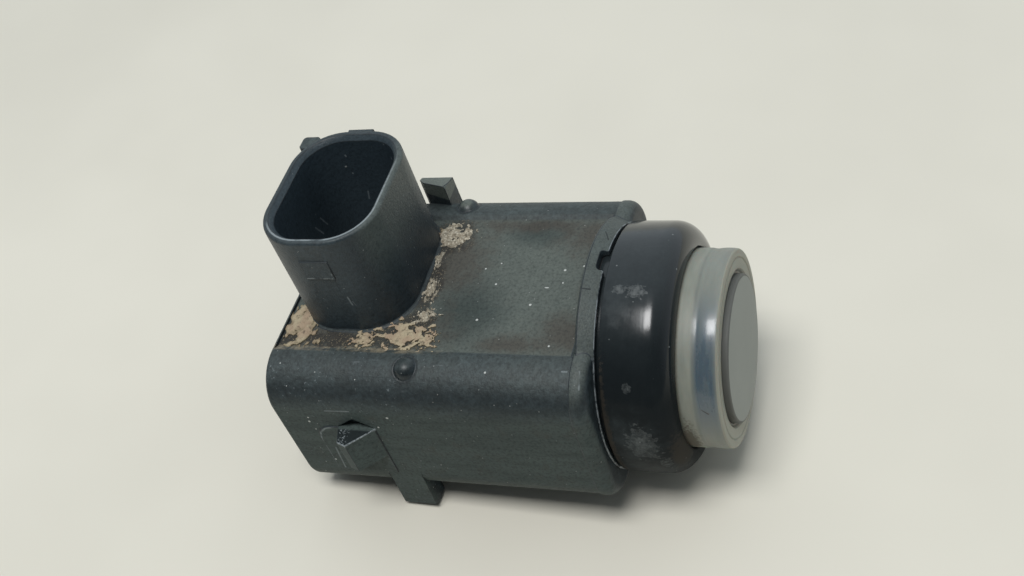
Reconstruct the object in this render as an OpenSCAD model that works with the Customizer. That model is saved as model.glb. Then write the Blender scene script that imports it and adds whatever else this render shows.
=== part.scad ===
// Ultrasonic parking sensor: a moulded housing with a plug socket, a glossy collar that carries
// the membrane in a soft ring, and a circuit board inside.
// The acoustic axis is X and points forward. X = 0 is the collar's rear shoulder, and Z is up.

/* [Body] */
// Length of the body from its rear face to the front of its ring
body_len = 36; // [34:0.5:44]
// Width of the body across its flanks
body_w = 29.4; // [28:0.2:36]
// Height of the body over its ribs
body_h = 19.4; // [18:0.2:26]
// Radius of the four long corners
corner_r = 4.6; // [3.4:0.1:5]
// Radius of the rear edge
rear_edge_r = 0.6; // [0.3:0.1:1.2]
// Wall thickness of the housing
wall = 1.6; // [1.3:0.1:2]
// Width of the sunken panel between the ribs
panel_w = 18.6; // [18:0.2:19.6]
// Depth of the panel below the ribs
panel_drop = 0.35; // [0.2:0.05:0.6]
// Width of the slope from the panel up to a rib
panel_slope = 0.7; // [0.4:0.05:1]
// Lip left between the panel and the rear face
panel_lip = 0.5; // [0.4:0.1:1.2]

/* [Front ring] */
// Diameter of the ring that stands round the collar
ring_d = 27.5; // [27:0.1:29]
// Length of the ring along the axis
ring_len = 1.85; // [1.6:0.05:3]
// Taper of the ring's radius towards the front
ring_taper = 0.7; // [0.3:0.05:0.8]
// Step between the front flange and the body behind it
flange_step = 0.12; // [0.05:0.01:0.3]
// Distance of the flange's face behind the front of the ring
flange_back = 0.1; // [0.05:0.05:0.3]
// Rounding of the flange's front edge
flange_edge_r = 1.2; // [0.6:0.1:1.2]
// Width of the notch in the top of the ring
notch_w = 2.6; // [2:0.2:5]
// Depth of the notch along the axis
notch_len = 0.7; // [0.5:0.1:1.4]
// Rounding of the notch's corners
notch_r = 0.4; // [0.2:0.05:0.45]
// Depth of the seat for the collar
seat_depth = 1; // [0.8:0.05:1.2]
// Diameter of the opening from the seat into the body
port_d = 14; // [12:0.2:15]

/* [Collar] */
// Diameter of the collar
collar_d = 26.5; // [26:0.1:26.8]
// Length of the collar from its rear shoulder to its front
collar_len = 6.95; // [6.5:0.05:8.5]
// Radius of the collar's rounded front
collar_nose_r = 2.55; // [1.8:0.05:2.8]
// Width of the groove between the ring and the collar
groove_w = 0.5; // [0.3:0.05:0.8]
// Diameter of the collar's spigot in its seat
spigot_d = 24.7; // [24.4:0.1:25]
// Wall of the spigot
spigot_wall = 0.95; // [0.8:0.05:1.1]
// Distance of the collar's inner shoulder from its rear shoulder
shoulder_x = 3; // [2.7:0.1:3.5]
// Thickness of the gasket behind the spigot
gasket_t = 0.4; // [0.3:0.05:0.6]

/* [Membrane] */
// Diameter of the membrane
membrane_d = 15.5; // [14:0.1:16]
// Thickness of the membrane
membrane_t = 0.65; // [0.5:0.05:0.9]
// Side wall of the membrane's pot
pot_wall = 1.2; // [0.8:0.1:1.6]
// Height of the membrane over the soft ring
membrane_proud = 0.55; // [0.3:0.05:0.9]
// Diameter of the soft ring
soft_d = 20.8; // [20.2:0.1:21]
// Distance of the soft ring's front from the collar's rear shoulder
soft_len = 11; // [10.5:0.1:12.5]
// Radius of the soft ring's front edge
soft_edge_r = 0.3; // [0.2:0.05:1.2]
// Thickness of the soft ring's flange
soft_flange_t = 2; // [1.6:0.1:2.2]
// Diameter of the piezo disc
piezo_d = 8; // [6:0.2:10]
// Thickness of the piezo disc
piezo_t = 0.5; // [0.3:0.05:0.8]
// Thickness of the damping pad
pad_t = 2.4; // [1.6:0.1:3]
// Diameter of the two leads
lead_d = 0.4; // [0.3:0.05:0.6]
// Distance of each lead and contact from the axis
lead_y = 2.5; // [2:0.1:3]

/* [Socket] */
// Size of the plug socket along the axis
socket_l = 13.2; // [12.5:0.1:15]
// Size of the plug socket across the axis
socket_w = 17; // [16:0.1:18]
// Radius of the socket's corners
socket_r = 5.3; // [4:0.1:6]
// Wall of the socket
socket_wall = 1.1; // [0.9:0.05:1.4]
// Height of the socket's rim over the panel
socket_h = 13.2; // [11:0.1:16]
// Rounding of the rim
rim_r = 0.4; // [0.2:0.05:0.42]
// Width of the chamfer inside the rim
mouth_w = 0.45; // [0.2:0.05:0.45]
// Depth of the chamfer inside the rim
mouth_h = 0.6; // [0.5:0.1:1]
// Chamfer at the foot of the socket
socket_foot = 0.25; // [0.15:0.05:0.5]
// Distance of the socket from the rear face
socket_back = 1.65; // [1.4:0.05:3]
// Offset of the socket across the axis
socket_y = 1.6; // [0.5:0.05:2]
// Thickness of the socket's floor
floor_t = 0.75; // [0.5:0.05:1]
// Width of the latch on the far wall
latch_w = 3; // [2:0.1:5]
// Height of the latch off the wall
latch_out = 1.1; // [0.6:0.1:1.6]
// Height of the latch's upper end off the wall
latch_top = 0.35; // [0.2:0.05:0.5]
// Length of the latch down the wall
latch_h = 3.4; // [2:0.1:5]
// Distance of the latch from the rim
latch_down = 0.2; // [0.1:0.1:1.5]
// Size of the coding nub at the rear corner
nub_w = 1.9; // [1.6:0.1:2]
// Rounding of the coding nub
nub_r = 0.45; // [0.3:0.05:0.75]
// Height of the coding nub off the rear wall
nub_out = 0.2; // [0.1:0.05:0.4]
// Length of the coding nub down the wall
nub_h = 6; // [4:0.2:9]
// Distance of the nub from the rim and from the far wall
nub_inset = 0.4; // [0.2:0.05:0.8]
// Width of the plate on the near wall
plate_w = 3.3; // [2.5:0.1:5]
// Height of the plate on the near wall
plate_h = 2.5; // [2:0.1:4]
// Thickness of the plate on the near wall
plate_t = 0.15; // [0.1:0.05:0.3]
// Distance of the plate from the rim
plate_down = 2.6; // [2:0.1:5]

/* [Terminals] */
// Distance between the terminal pins
pin_pitch = 4; // [3.4:0.1:4.2]
// Width of a terminal pin
pin_w = 1.2; // [0.8:0.1:1.6]
// Thickness of a terminal pin
pin_t = 0.6; // [0.5:0.05:0.8]
// Height of a terminal pin over the socket's floor
pin_h = 4.7; // [4:0.1:5.4]
// Width of the shoulder under the socket's floor
pin_shoulder_w = 2.2; // [1.8:0.1:2.6]
// Height of the shoulder under the socket's floor
pin_shoulder_h = 1; // [0.6:0.1:1.6]
// Width of the tail through the board
tail_w = 0.8; // [0.6:0.05:0.9]
// Length of the tail below the board
tail_out = 0.8; // [0.5:0.1:1.2]

/* [Locks] */
// Distance of the lugs from the rear face
lug_back = 10.25; // [9:0.25:13]
// Length of a lug along the axis
lug_len = 3.9; // [3:0.1:6]
// Height of a lug's tip off the axis
lug_tip = 11.2; // [10.6:0.1:13.4]
// Thickness of a lug at its front end
lug_front_t = 2.6; // [2:0.1:3.4]
// Thickness of a lug at its rear end
lug_rear_t = 0.7; // [0.5:0.1:1.2]
// Rise of a lug's tip towards its inner side
lug_rise = 0.9; // [0:0.1:1.4]
// Rounding of a lug's tip
lug_r = 0.5; // [0.2:0.1:0.8]
// Radius of a locating bump
bump_r = 1.3; // [1:0.05:1.6]
// Height of a bump over its rib
bump_h = 0.8; // [0.5:0.05:1]
// Angle of a bump round its rib, from the top
bump_angle = 21; // [10:1:40]
// Distance of the bumps from the rear face
bump_back = 16.4; // [15:0.1:20]
// Distance of the flank pads from the rear face
flank_back = 4.3; // [3:0.1:5]
// Length of a flank pad
flank_len = 7.3; // [6.6:0.1:9]
// Thickness of a flank pad
flank_t = 0.15; // [0.1:0.05:0.3]
// Height of a flank pad's top over the axis
flank_top = 2.7; // [2:0.1:3]
// Radius of a flank pad's upper corner
flank_r = 2; // [1:0.1:2.5]
// Height of the barb off the flank
barb_out = 2.5; // [1.5:0.1:3]
// Length of the barb along the axis
barb_len = 4.4; // [3.6:0.1:5.5]
// Length of the barb's blunt tip
barb_tip = 1.1; // [0.6:0.1:1.6]
// Size of the barb down the flank
barb_h = 4.6; // [3:0.1:6]
// Height of the slot over the barb
slot_h = 1.4; // [0.8:0.1:2]
// Depth of the slot over the barb
slot_depth = 0.7; // [0.3:0.1:0.8]

/* [Cover] */
// Thickness of the cover underneath
cover_t = 1; // [0.8:0.05:1.2]
// Margin of the panel round the cover
cover_margin = 0.5; // [0.3:0.05:0.6]
// Width of the ledge that the cover rests on
ledge_w = 0.8; // [0.6:0.05:1]
// Depth of the groove moulded in the cover
cover_groove = 0.25; // [0.1:0.05:0.4]
// Width of the groove moulded in the cover
cover_groove_w = 0.8; // [0.5:0.1:1.4]
// Distance of the groove from the cover's edge
cover_groove_in = 2.2; // [1.2:0.1:3]

/* [Electronics] */
// Width of the circuit board
board_w = 15.4; // [14.8:0.1:15.6]
// Thickness of the circuit board
board_t = 1.2; // [0.8:0.1:1.6]
// Distance of the board from the collar's rear shoulder
board_front = 4.5; // [4.1:0.1:5.4]
// Distance of the board from the inside of the rear wall
board_back = 1.8; // [1.4:0.1:2.2]
// Side of the posts that carry the board
post_w = 1.6; // [1.2:0.1:1.8]
// Side of a contact
contact_w = 0.6; // [0.5:0.05:0.8]
// Length of a contact on the board
contact_lap = 2.6; // [2:0.1:3]
// Diameter of the transformer's core
core_d = 6.4; // [5:0.1:6.6]
// Height of the transformer's core
core_h = 4.6; // [3.6:0.1:5.2]
// Thickness of the core's flanges
core_flange_t = 1; // [0.7:0.05:1.3]
// Diameter of the core's waist
core_waist_d = 2.8; // [2:0.1:3.4]
// Height of the transformer's base
base_t = 1; // [0.7:0.1:1.4]
// Length of the control chip
chip_l = 8.65; // [8.4:0.05:9]
// Width of the control chip
chip_w = 3.9; // [3.4:0.1:4.4]
// Thickness of the control chip
chip_t = 1.5; // [1.2:0.1:1.8]
// Distance between the chip's leads
chip_pitch = 1.27; // [1.1:0.01:1.3]
// Diameter of the storage capacitor
can_d = 5; // [4:0.1:5.2]
// Height of the storage capacitor's can
can_h = 4.4; // [3.6:0.1:4.8]
// Height of the storage capacitor's base
can_base_t = 0.8; // [0.6:0.1:1]
// Length of the protection diode
diode_l = 4.3; // [3.6:0.1:4.6]
// Width of the protection diode
diode_w = 2.6; // [2:0.1:2.8]
// Height of the protection diode
diode_h = 2.1; // [1.6:0.1:2.4]
// Length of a chip capacitor
cap_l = 2; // [1.6:0.1:2.2]
// Width of a chip capacitor
cap_w = 1.2; // [0.8:0.1:1.4]
// Height of a chip capacitor
cap_h = 1; // [0.6:0.1:1.3]
// Length of a chip resistor
res_l = 1.6; // [1.2:0.1:1.8]
// Width of a chip resistor
res_w = 0.8; // [0.6:0.05:1]
// Height of a chip resistor
res_h = 0.5; // [0.35:0.05:0.6]

/* [Hidden] */
$fn = 72;
// Facets of the small roundings
fine = 24;
// Clearance between faces that fit in each other
fit = 0.05;
// Overlap that joins two shapes of one moulding
bond = 0.3;
// Length that carries a cut past a face
past = 1;
// Chamfers of the ring, the collar's bore, the membrane and the pins
ring_edge = 0.25;
bore_edge = 0.35;
membrane_edge = 0.2;
pin_edge = 0.5;
// Step in a lug's inner side, next to its rear end
lug_kink = 0.7;
// Lean of the barb's rear end, and the slant of its tip
barb_lean = 0.6;
barb_slant = 0.4;
// Plate and rim of the contact carrier
carrier_plate_t = 1.2;
carrier_rim_t = 1.7;
// Reach of a contact in front of the carrier, and the stop that bears on the carrier
contact_reach = 1;
stop_t = 0.6;
stop_lip = 0.4;
// Distance of the posts from the edges of the board
post_edge = 0.3;
// Clearance of a terminal's tail in the board
hole_gap = 0.2;
// Places of the parts on the board
transformer_y = 1.2;
transformer_gap = 0.8;
base_margin = 0.3;
base_foot = 1.2;
winding_in = 0.4;
capacitor_y = -1.6;
capacitor_gap = 2.6;
capacitor_bevel = 1;
can_bead = 0.4;
can_neck = 1.2;
chip_gap = 2.6;
chip_draft = 0.15;
diode_gap = 1.25;
diode_y = -4.6;
diode_seam = 0.9;
diode_draft = 0.2;
cap_gap = 2;
cap_pitch = 3;
cap_count = 4;
res_gap = 3.8;
res_pitch = 2.1;
res_count = 5;
res_y = -2.1;
// Leads of the control chip
lead_reach = 1;
lead_run = 0.5;
lead_t = 0.2;
lead_w = 0.42;
leads_per_side = 6;

ring_front = -groove_w;
ring_rear = ring_front - ring_len;
flange_front = ring_front - flange_back;
seat_x = ring_front - seat_depth;
rear_x = ring_front - body_len;
half_w = body_w / 2;
half_h = body_h / 2;
corner_y = half_w - corner_r;
corner_z = half_h - corner_r;
panel_z = half_h - panel_drop;
roof_z = panel_z - wall;
cavity_w = body_w - 2 * wall;
cavity_r = max(corner_r - wall, 0.5);
cavity_rear = rear_x + wall;
ring_r = ring_d / 2;
flank_x = rear_x + flank_back;
barb_x = flank_x + flank_len - barb_len;

socket_x = rear_x + socket_back + socket_l / 2;
socket_floor = roof_z + floor_t;
rim_z = panel_z + socket_h;

cover_w = panel_w - 2 * cover_margin;
cover_rear = rear_x + panel_lip + cover_margin;
cover_front = ring_rear - cover_margin;
hatch_w = cover_w - 2 * ledge_w;
hatch_rear = cover_rear + ledge_w;
hatch_front = cover_front - ledge_w;

spigot_r = spigot_d / 2;
pocket_r = spigot_r - spigot_wall;
bore_r = soft_d / 2 + fit;
pot_r = membrane_d / 2;
membrane_x = soft_len + membrane_proud;
carrier_front = shoulder_x - soft_flange_t;
soft_lip_t = soft_flange_t / 2;
soft_lip_r = pot_r - pot_wall;
piezo_x = membrane_x - membrane_t;
pad_front = piezo_x - piezo_t;
contact_front = carrier_front + contact_reach;

board_top = -contact_w / 2;
board_bottom = board_top - board_t;
board_x0 = cavity_rear + board_back;
board_x1 = -board_front;
contact_rear = board_x1 - contact_lap;
post_inset = post_w / 2 + post_edge;

transformer_side = core_d + 2 * base_margin;
transformer_x = contact_rear - transformer_gap - transformer_side / 2;
capacitor_side = can_d + base_margin;
capacitor_x = board_x1 - capacitor_gap - capacitor_side / 2;
chip_x = socket_x + chip_gap + chip_l / 2;
chip_top = board_bottom - lead_t;
diode_x = socket_x + diode_gap + diode_l / 2;
cap_row_x = transformer_x - transformer_side / 2 - cap_gap - cap_l / 2;
res_row_x = socket_x + res_gap + res_l / 2;

module along_x(x0, x1) {
    translate([x0, 0, 0])
        rotate([90, 0, 90])
            linear_extrude(height = x1 - x0)
                children();
}

// Turns an outline of [radius, distance along the axis] points about the acoustic axis.
module turned() {
    rotate([0, 90, 0])
        rotate_extrude()
            children();
}

module slab(w, h, r) {
    square([w - 2 * r, h], center = true);
    square([w, h - 2 * r], center = true);
    for (sx = [-1, 1], sy = [-1, 1])
        translate([sx * (w / 2 - r), sy * (h / 2 - r)])
            circle(r);
}

// Sweeps a wall outline round a rounded rectangle. In the outline, x = 0 is the outer face.
module swept_wall(size, r) {
    for (turn = [0:3]) {
        side = turn % 2 == 0 ? size : [size.y, size.x];
        rotate([0, 0, 90 * turn]) {
            rotate([90, 0, 0])
                linear_extrude(height = side.y - 2 * r, center = true)
                    translate([side.x / 2, 0])
                        children();
            translate([side.x / 2 - r, side.y / 2 - r, 0])
                rotate_extrude(angle = 90)
                    translate([r, 0])
                        children();
        }
    }
}

// A rectangle whose upper outer corner is rounded.
module one_round(w, h, r) {
    translate([-w, 0]) {
        square([w, h - r]);
        square([w - r, h]);
    }
    translate([-r, h - r])
        circle(r, $fn = fine);
}

// A rectangle whose two upper corners are rounded.
module two_round(w, h, r) {
    square([w, h - r]);
    translate([r, 0])
        square([w - 2 * r, h]);
    for (x = [r, w - r])
        translate([x, h - r])
            circle(r, $fn = fine);
}

// Puts a shape in place, and its twin half a turn round the acoustic axis.
module half_turn_pair() {
    for (turn = [0, 180])
        rotate([turn, 0, 0])
            children();
}

// An upright bar on a rounded rectangle, with its upper edge rounded
module rounded_bar(size, r, len, edge_r) {
    core = [size.x - 2 * (r - bond), size.y - 2 * (r - bond)];
    swept_wall(size, r)
        one_round(r - bond / 2, len, edge_r);
    translate([-core.x / 2, -core.y / 2, 0])
        cube([core.x, core.y, len]);
}

// The bar is laid back, so its rounded end is the rear face.
module body_block() {
    bar_front = ring_rear + bond;
    translate([bar_front, 0, 0])
        rotate([0, -90, 0])
            rounded_bar([body_h, body_w], corner_r, bar_front - rear_x, rear_edge_r);
}

module panel_recess() {
    rise = panel_drop + past;
    spread = panel_slope * rise / panel_drop;
    half_turn_pair()
        along_x(rear_x + panel_lip, ring_rear)
            polygon([[-panel_w / 2, panel_z], [panel_w / 2, panel_z],
                     [panel_w / 2 + spread, panel_z + rise], [-panel_w / 2 - spread, panel_z + rise]]);
}

module front_ring() {
    flange_size = [body_h + 2 * flange_step, body_w + 2 * flange_step];
    translate([ring_rear, 0, 0])
        rotate([0, 90, 0])
            rounded_bar(flange_size, corner_r + flange_step, flange_front - ring_rear, flange_edge_r);
    turned()
        polygon([[0, ring_rear], [ring_r - ring_edge, ring_rear], [ring_r, ring_rear + ring_edge],
                 [ring_r - ring_taper, ring_front], [0, ring_front]]);
}

// Outline of the socket's wall, rounded at its outer edge and chamfered inside, with a wider foot
module wall_outline() {
    top = socket_h + bond;
    difference() {
        one_round(socket_wall, top, rim_r);
        polygon([[-socket_wall, top - mouth_h], [mouth_w - socket_wall, top],
                 [mouth_w - socket_wall, top + past], [-socket_wall - past, top + past],
                 [-socket_wall - past, top - mouth_h]]);
    }
    polygon([[-socket_wall, 0], [socket_foot, 0], [socket_foot, bond], [0, bond + socket_foot],
             [-socket_wall, bond + socket_foot]]);
}

module socket_shell() {
    far_y = socket_y + socket_w / 2;
    translate([socket_x, socket_y, panel_z - bond])
        swept_wall([socket_l, socket_w], socket_r)
            wall_outline();
    // Latch for the plug, a ramp on the far wall
    translate([socket_x - latch_w / 2, far_y, rim_z - latch_down])
        rotate([90, 0, 90])
            linear_extrude(height = latch_w)
                polygon([[-bond, 0], [latch_top, 0], [latch_out, -latch_h], [-bond, -latch_h]]);
    // Coding nub on the rear corner of the far wall
    nub_x = socket_x + (nub_w - nub_out - socket_l) / 2;
    translate([nub_x, far_y - nub_inset - nub_w / 2, rim_z - nub_inset - nub_h])
        linear_extrude(height = nub_h)
            slab(nub_w + nub_out, nub_w, nub_r);
    // Plate on the near wall
    translate([socket_x - plate_w / 2, socket_y - socket_w / 2 - plate_t, rim_z - plate_down - plate_h])
        cube([plate_w, plate_t + bond, plate_h]);
}

// A wedge on the far flank, thicker towards the front, whose tip slopes and is rounded at its ends
module lug() {
    x0 = rear_x + lug_back;
    x1 = x0 + lug_len;
    intersection() {
        linear_extrude(height = lug_tip + lug_rise)
            polygon([[x0, half_w], [x1, half_w], [x1, half_w - lug_front_t],
                     [x0 + lug_kink, half_w - lug_rear_t - lug_kink], [x0, half_w - lug_rear_t]]);
        along_x(x0 - past, x1 + past)
            polygon([[half_w, corner_z], [half_w, lug_tip], [half_w - lug_front_t, lug_tip + lug_rise],
                     [half_w - lug_front_t, corner_z]]);
        translate([x0, half_w + past, 0])
            rotate([90, 0, 0])
                linear_extrude(height = lug_front_t + 2 * past)
                    two_round(lug_len, lug_tip + lug_rise, lug_r);
    }
}

module bumps() {
    for (side = [-1, 1], level = [-1, 1])
        translate([rear_x + bump_back, side * corner_y, level * corner_z])
            rotate([-side * level * bump_angle, 0, 0])
                translate([0, 0, level * (corner_r + bump_h - bump_r)])
                    sphere(bump_r, $fn = fine);
}

// Stands an outline of [along the axis, up] points out of the near flank, from a depth to a height.
module on_flank(depth, height) {
    translate([0, depth - half_w, 0])
        rotate([90, 0, 0])
            linear_extrude(height = depth + height)
                children();
}

module flank_pad() {
    bottom = -corner_z;
    on_flank(bond, flank_t)
        translate([flank_x, bottom]) {
            square([flank_len, flank_top - flank_r - bottom]);
            translate([flank_r, 0])
                square([flank_len - flank_r, flank_top - bottom]);
            translate([flank_r, flank_top - flank_r - bottom])
                circle(flank_r);
        }
}

// A catch on the flank pad that rises from the pad's front end to a blunt tip
module barb() {
    tip_x = barb_x + barb_lean;
    barb_end = barb_x + barb_len;
    translate([0, -half_w, flank_top - barb_h])
        linear_extrude(height = barb_h)
            polygon([[barb_x, bond], [barb_x, -flank_t], [tip_x, barb_slant - barb_out],
                     [tip_x + barb_tip, -barb_out], [barb_end, -flank_t], [barb_end, bond]]);
}

// Slot over the barb that lets the mould shut off
module barb_slot() {
    on_flank(slot_depth, past)
        polygon([[barb_x, flank_top], [barb_x + barb_len, flank_top],
                 [barb_x + barb_len / 2, flank_top + slot_h]]);
}

module cavity() {
    along_x(cavity_rear, ring_rear)
        slab(cavity_w, 2 * roof_z, cavity_r);
}

module collar_seat() {
    seat_r = spigot_r + 2 * fit;
    turned() {
        translate([0, seat_x])
            square([seat_r, seat_depth + past]);
        translate([0, ring_rear - past])
            square([port_d / 2, ring_len + 2 * past]);
    }
}

module ring_notch() {
    translate([ring_front, 0, spigot_r])
        linear_extrude(height = ring_r)
            slab(2 * notch_len, notch_w, notch_r);
}

module socket_pocket() {
    translate([socket_x, socket_y, socket_floor])
        linear_extrude(height = panel_z - socket_floor + past)
            slab(socket_l - 2 * socket_wall, socket_w - 2 * socket_wall, socket_r - socket_wall);
}

module hatch() {
    translate([hatch_rear, -hatch_w / 2, -panel_z - past])
        cube([hatch_front - hatch_rear, hatch_w, wall + 2 * past]);
    translate([cover_rear - fit, -cover_w / 2 - fit, -panel_z - past])
        cube([cover_front - cover_rear + 2 * fit, cover_w + 2 * fit, cover_t + past]);
}

module at_pins() {
    for (i = [-1, 0, 1])
        translate([socket_x, socket_y + i * pin_pitch, 0])
            children();
}

module pin_slots() {
    at_pins()
        translate([-pin_t / 2 - fit, -pin_w / 2 - fit, roof_z - past])
            cube([pin_t + 2 * fit, pin_w + 2 * fit, floor_t + 2 * past]);
}

module board_posts() {
    for (x = [board_x0 + post_inset, board_x1 - post_inset], side = [-1, 1])
        translate([x - post_w / 2, side * (board_w / 2 - post_inset) - post_w / 2, board_top])
            cube([post_w, post_w, roof_z + bond - board_top]);
}

module housing() {
    color("#24282c") {
        difference() {
            union() {
                difference() {
                    body_block();
                    panel_recess();
                }
                front_ring();
                socket_shell();
                bumps();
                half_turn_pair() {
                    lug();
                    flank_pad();
                    barb();
                }
            }
            cavity();
            collar_seat();
            ring_notch();
            socket_pocket();
            pin_slots();
            hatch();
            half_turn_pair()
                barb_slot();
        }
        board_posts();
    }
}

// A block as long and wide as the cover less a margin, from below the cover up to a height in it
module cover_block(margin, low, height) {
    translate([cover_rear + margin, margin - cover_w / 2, -panel_z - low])
        cube([cover_front - cover_rear - 2 * margin, cover_w - 2 * margin, low + height]);
}

module base_cover() {
    color("#2a2d30")
        difference() {
            cover_block(0, 0, cover_t);
            difference() {
                cover_block(cover_groove_in, past, cover_groove);
                cover_block(cover_groove_in + cover_groove_w, 2 * past, cover_t);
            }
        }
}

module collar() {
    r = collar_d / 2;
    spigot_x = seat_x + gasket_t;
    wall_len = collar_len - collar_nose_r;
    color("#101214")
        turned()
            difference() {
                union() {
                    translate([0, spigot_x])
                        square([spigot_r, wall_len - spigot_x]);
                    square([r, wall_len]);
                    square([r - collar_nose_r, collar_len]);
                    translate([r - collar_nose_r, wall_len])
                        intersection() {
                            circle(collar_nose_r);
                            square(collar_nose_r);
                        }
                }
                translate([0, spigot_x - past])
                    square([bore_r, collar_len - spigot_x + 2 * past]);
                translate([0, spigot_x - past])
                    square([pocket_r, shoulder_x - spigot_x + past]);
                polygon([[bore_r - bore_edge, collar_len], [bore_r + bore_edge, collar_len],
                         [bore_r, collar_len - bore_edge], [bore_r - bore_edge, collar_len - bore_edge]]);
            }
}

module collar_gasket() {
    color("#1a1a1a")
        turned()
            translate([pocket_r, seat_x])
                square([spigot_wall, gasket_t]);
}

module decoupling_ring() {
    r = soft_d / 2;
    bore = pot_r + fit;
    color("#b9bab2")
        turned()
            difference() {
                union() {
                    translate([0, carrier_front])
                        square([pocket_r - fit, soft_flange_t]);
                    translate([0, carrier_front])
                        square([r, soft_len - soft_edge_r - carrier_front]);
                    translate([0, carrier_front])
                        square([r - soft_edge_r, soft_len - carrier_front]);
                    translate([r - soft_edge_r, soft_len - soft_edge_r])
                        circle(soft_edge_r, $fn = fine);
                }
                translate([0, carrier_front + soft_lip_t])
                    square([bore, soft_len]);
                translate([0, carrier_front - past])
                    square([soft_lip_r, soft_len]);
            }
}

module membrane_pot() {
    pot_rear = carrier_front + soft_lip_t;
    color("#a9abab")
        turned()
            polygon([[0, piezo_x], [pot_r - pot_wall, piezo_x], [pot_r - pot_wall, pot_rear],
                     [pot_r, pot_rear], [pot_r, membrane_x - membrane_edge],
                     [pot_r - membrane_edge, membrane_x], [0, membrane_x]]);
}

module piezo_disc() {
    color("#c9b58a")
        turned()
            translate([0, pad_front])
                square([piezo_d / 2, piezo_t]);
}

module damping_pad() {
    color("#4b4f52")
        difference() {
            turned()
                translate([0, pad_front - pad_t])
                    square([pot_r - pot_wall - fit, pad_t]);
            for (side = [-1, 1])
                translate([pad_front - pad_t - past, side * lead_y, 0])
                    rotate([0, 90, 0])
                        cylinder(d = lead_d + 2 * fit, h = pad_t + 2 * past, $fn = fine);
        }
}

module lead(side) {
    translate([contact_front, side * lead_y, 0])
        rotate([0, 90, 0])
            cylinder(d = lead_d, h = pad_front - contact_front, $fn = fine);
}

module live_lead() {
    color("#b3342c")
        lead(-1);
}

module ground_lead() {
    color("#33373a")
        lead(1);
}

module contact_carrier() {
    r = pocket_r - fit;
    color("#3a3f3a")
        difference() {
            turned()
                polygon([[0, seat_x], [r, seat_x], [r, carrier_front], [r - carrier_rim_t, carrier_front],
                         [r - carrier_rim_t, seat_x + carrier_plate_t], [0, seat_x + carrier_plate_t]]);
            for (side = [-1, 1])
                translate([seat_x - past, side * lead_y - contact_w / 2 - fit, -contact_w / 2 - fit])
                    cube([carrier_plate_t + 2 * past, contact_w + 2 * fit, contact_w + 2 * fit]);
        }
}

// A square contact with a stop that bears on the front of the carrier
module contact(side) {
    stop_w = contact_w + 2 * stop_lip;
    translate([contact_rear, side * lead_y - contact_w / 2, -contact_w / 2])
        cube([contact_front - contact_rear, contact_w, contact_w]);
    translate([seat_x + carrier_plate_t, side * lead_y - stop_w / 2, -stop_w / 2])
        cube([stop_t, stop_w, stop_w]);
}

module near_contact() {
    color("#b8a25a")
        contact(-1);
}

module far_contact() {
    color("#b8a25a")
        contact(1);
}

module circuit_board() {
    color("#2f5d3a")
        difference() {
            translate([board_x0, -board_w / 2, board_bottom])
                cube([board_x1 - board_x0, board_w, board_t]);
            at_pins()
                translate([0, 0, board_bottom - past])
                    cylinder(d = tail_w + 2 * hole_gap, h = board_t + 2 * past, $fn = fine);
        }
}

module transformer_base() {
    color("#33302c")
        translate([transformer_x, transformer_y, board_top])
            linear_extrude(height = base_t)
                difference() {
                    square(transformer_side, center = true);
                    for (side = [-1, 1])
                        translate([side * transformer_side / 2, 0])
                            square(base_foot, center = true);
                }
}

module transformer_core() {
    color("#4a4a4c")
        translate([transformer_x, transformer_y, board_top + base_t]) {
            cylinder(d = core_d, h = core_flange_t);
            cylinder(d = core_waist_d, h = core_h);
            translate([0, 0, core_h - core_flange_t])
                cylinder(d = core_d, h = core_flange_t);
        }
}

module transformer_winding() {
    color("#b4642d")
        translate([transformer_x, transformer_y, board_top + base_t + core_flange_t])
            linear_extrude(height = core_h - 2 * core_flange_t)
                difference() {
                    circle(d = core_d - 2 * winding_in);
                    circle(d = core_waist_d + 2 * fit);
                }
}

module control_chip() {
    half = chip_w / 2;
    color("#1d1f22")
        along_x(chip_x - chip_l / 2, chip_x + chip_l / 2)
            polygon([[chip_draft - half, chip_top], [half - chip_draft, chip_top],
                     [half, chip_top - chip_t / 2], [half - chip_draft, chip_top - chip_t],
                     [chip_draft - half, chip_top - chip_t], [-half, chip_top - chip_t / 2]]);
}

// Gull-wing leads that stand on the underside of the board
module chip_leads() {
    level = chip_top - (chip_t + lead_t) / 2;
    color("#c7c9cb")
        for (i = [0:leads_per_side - 1], turn = [0, 180])
            translate([chip_x + (i - (leads_per_side - 1) / 2) * chip_pitch, 0, 0])
                rotate([0, 0, turn])
                    translate([0, chip_w / 2, 0])
                        along_x(-lead_w / 2, lead_w / 2) {
                            translate([0, level])
                                square([lead_run, lead_t]);
                            translate([lead_run - lead_t, level])
                                square([lead_t, board_bottom - level]);
                            translate([lead_run - lead_t, chip_top])
                                square([lead_reach + lead_t - lead_run, lead_t]);
                        }
}

module storage_capacitor() {
    r = can_d / 2;
    color("#c3c6c8")
        translate([capacitor_x, capacitor_y, board_bottom - can_base_t])
            mirror([0, 0, 1])
                rotate_extrude()
                    polygon([[0, 0], [r, 0], [r, can_neck - can_bead], [r - can_bead / 2, can_neck],
                             [r, can_neck + can_bead], [r, can_h - can_bead], [r - can_bead, can_h],
                             [0, can_h]]);
}

module capacitor_base() {
    half = capacitor_side / 2;
    color("#1f2123")
        translate([capacitor_x, capacitor_y, board_bottom - can_base_t])
            linear_extrude(height = can_base_t)
                polygon([[-half, -half], [half - capacitor_bevel, -half], [half, capacitor_bevel - half],
                         [half, half - capacitor_bevel], [half - capacitor_bevel, half], [-half, half]]);
}

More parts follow.
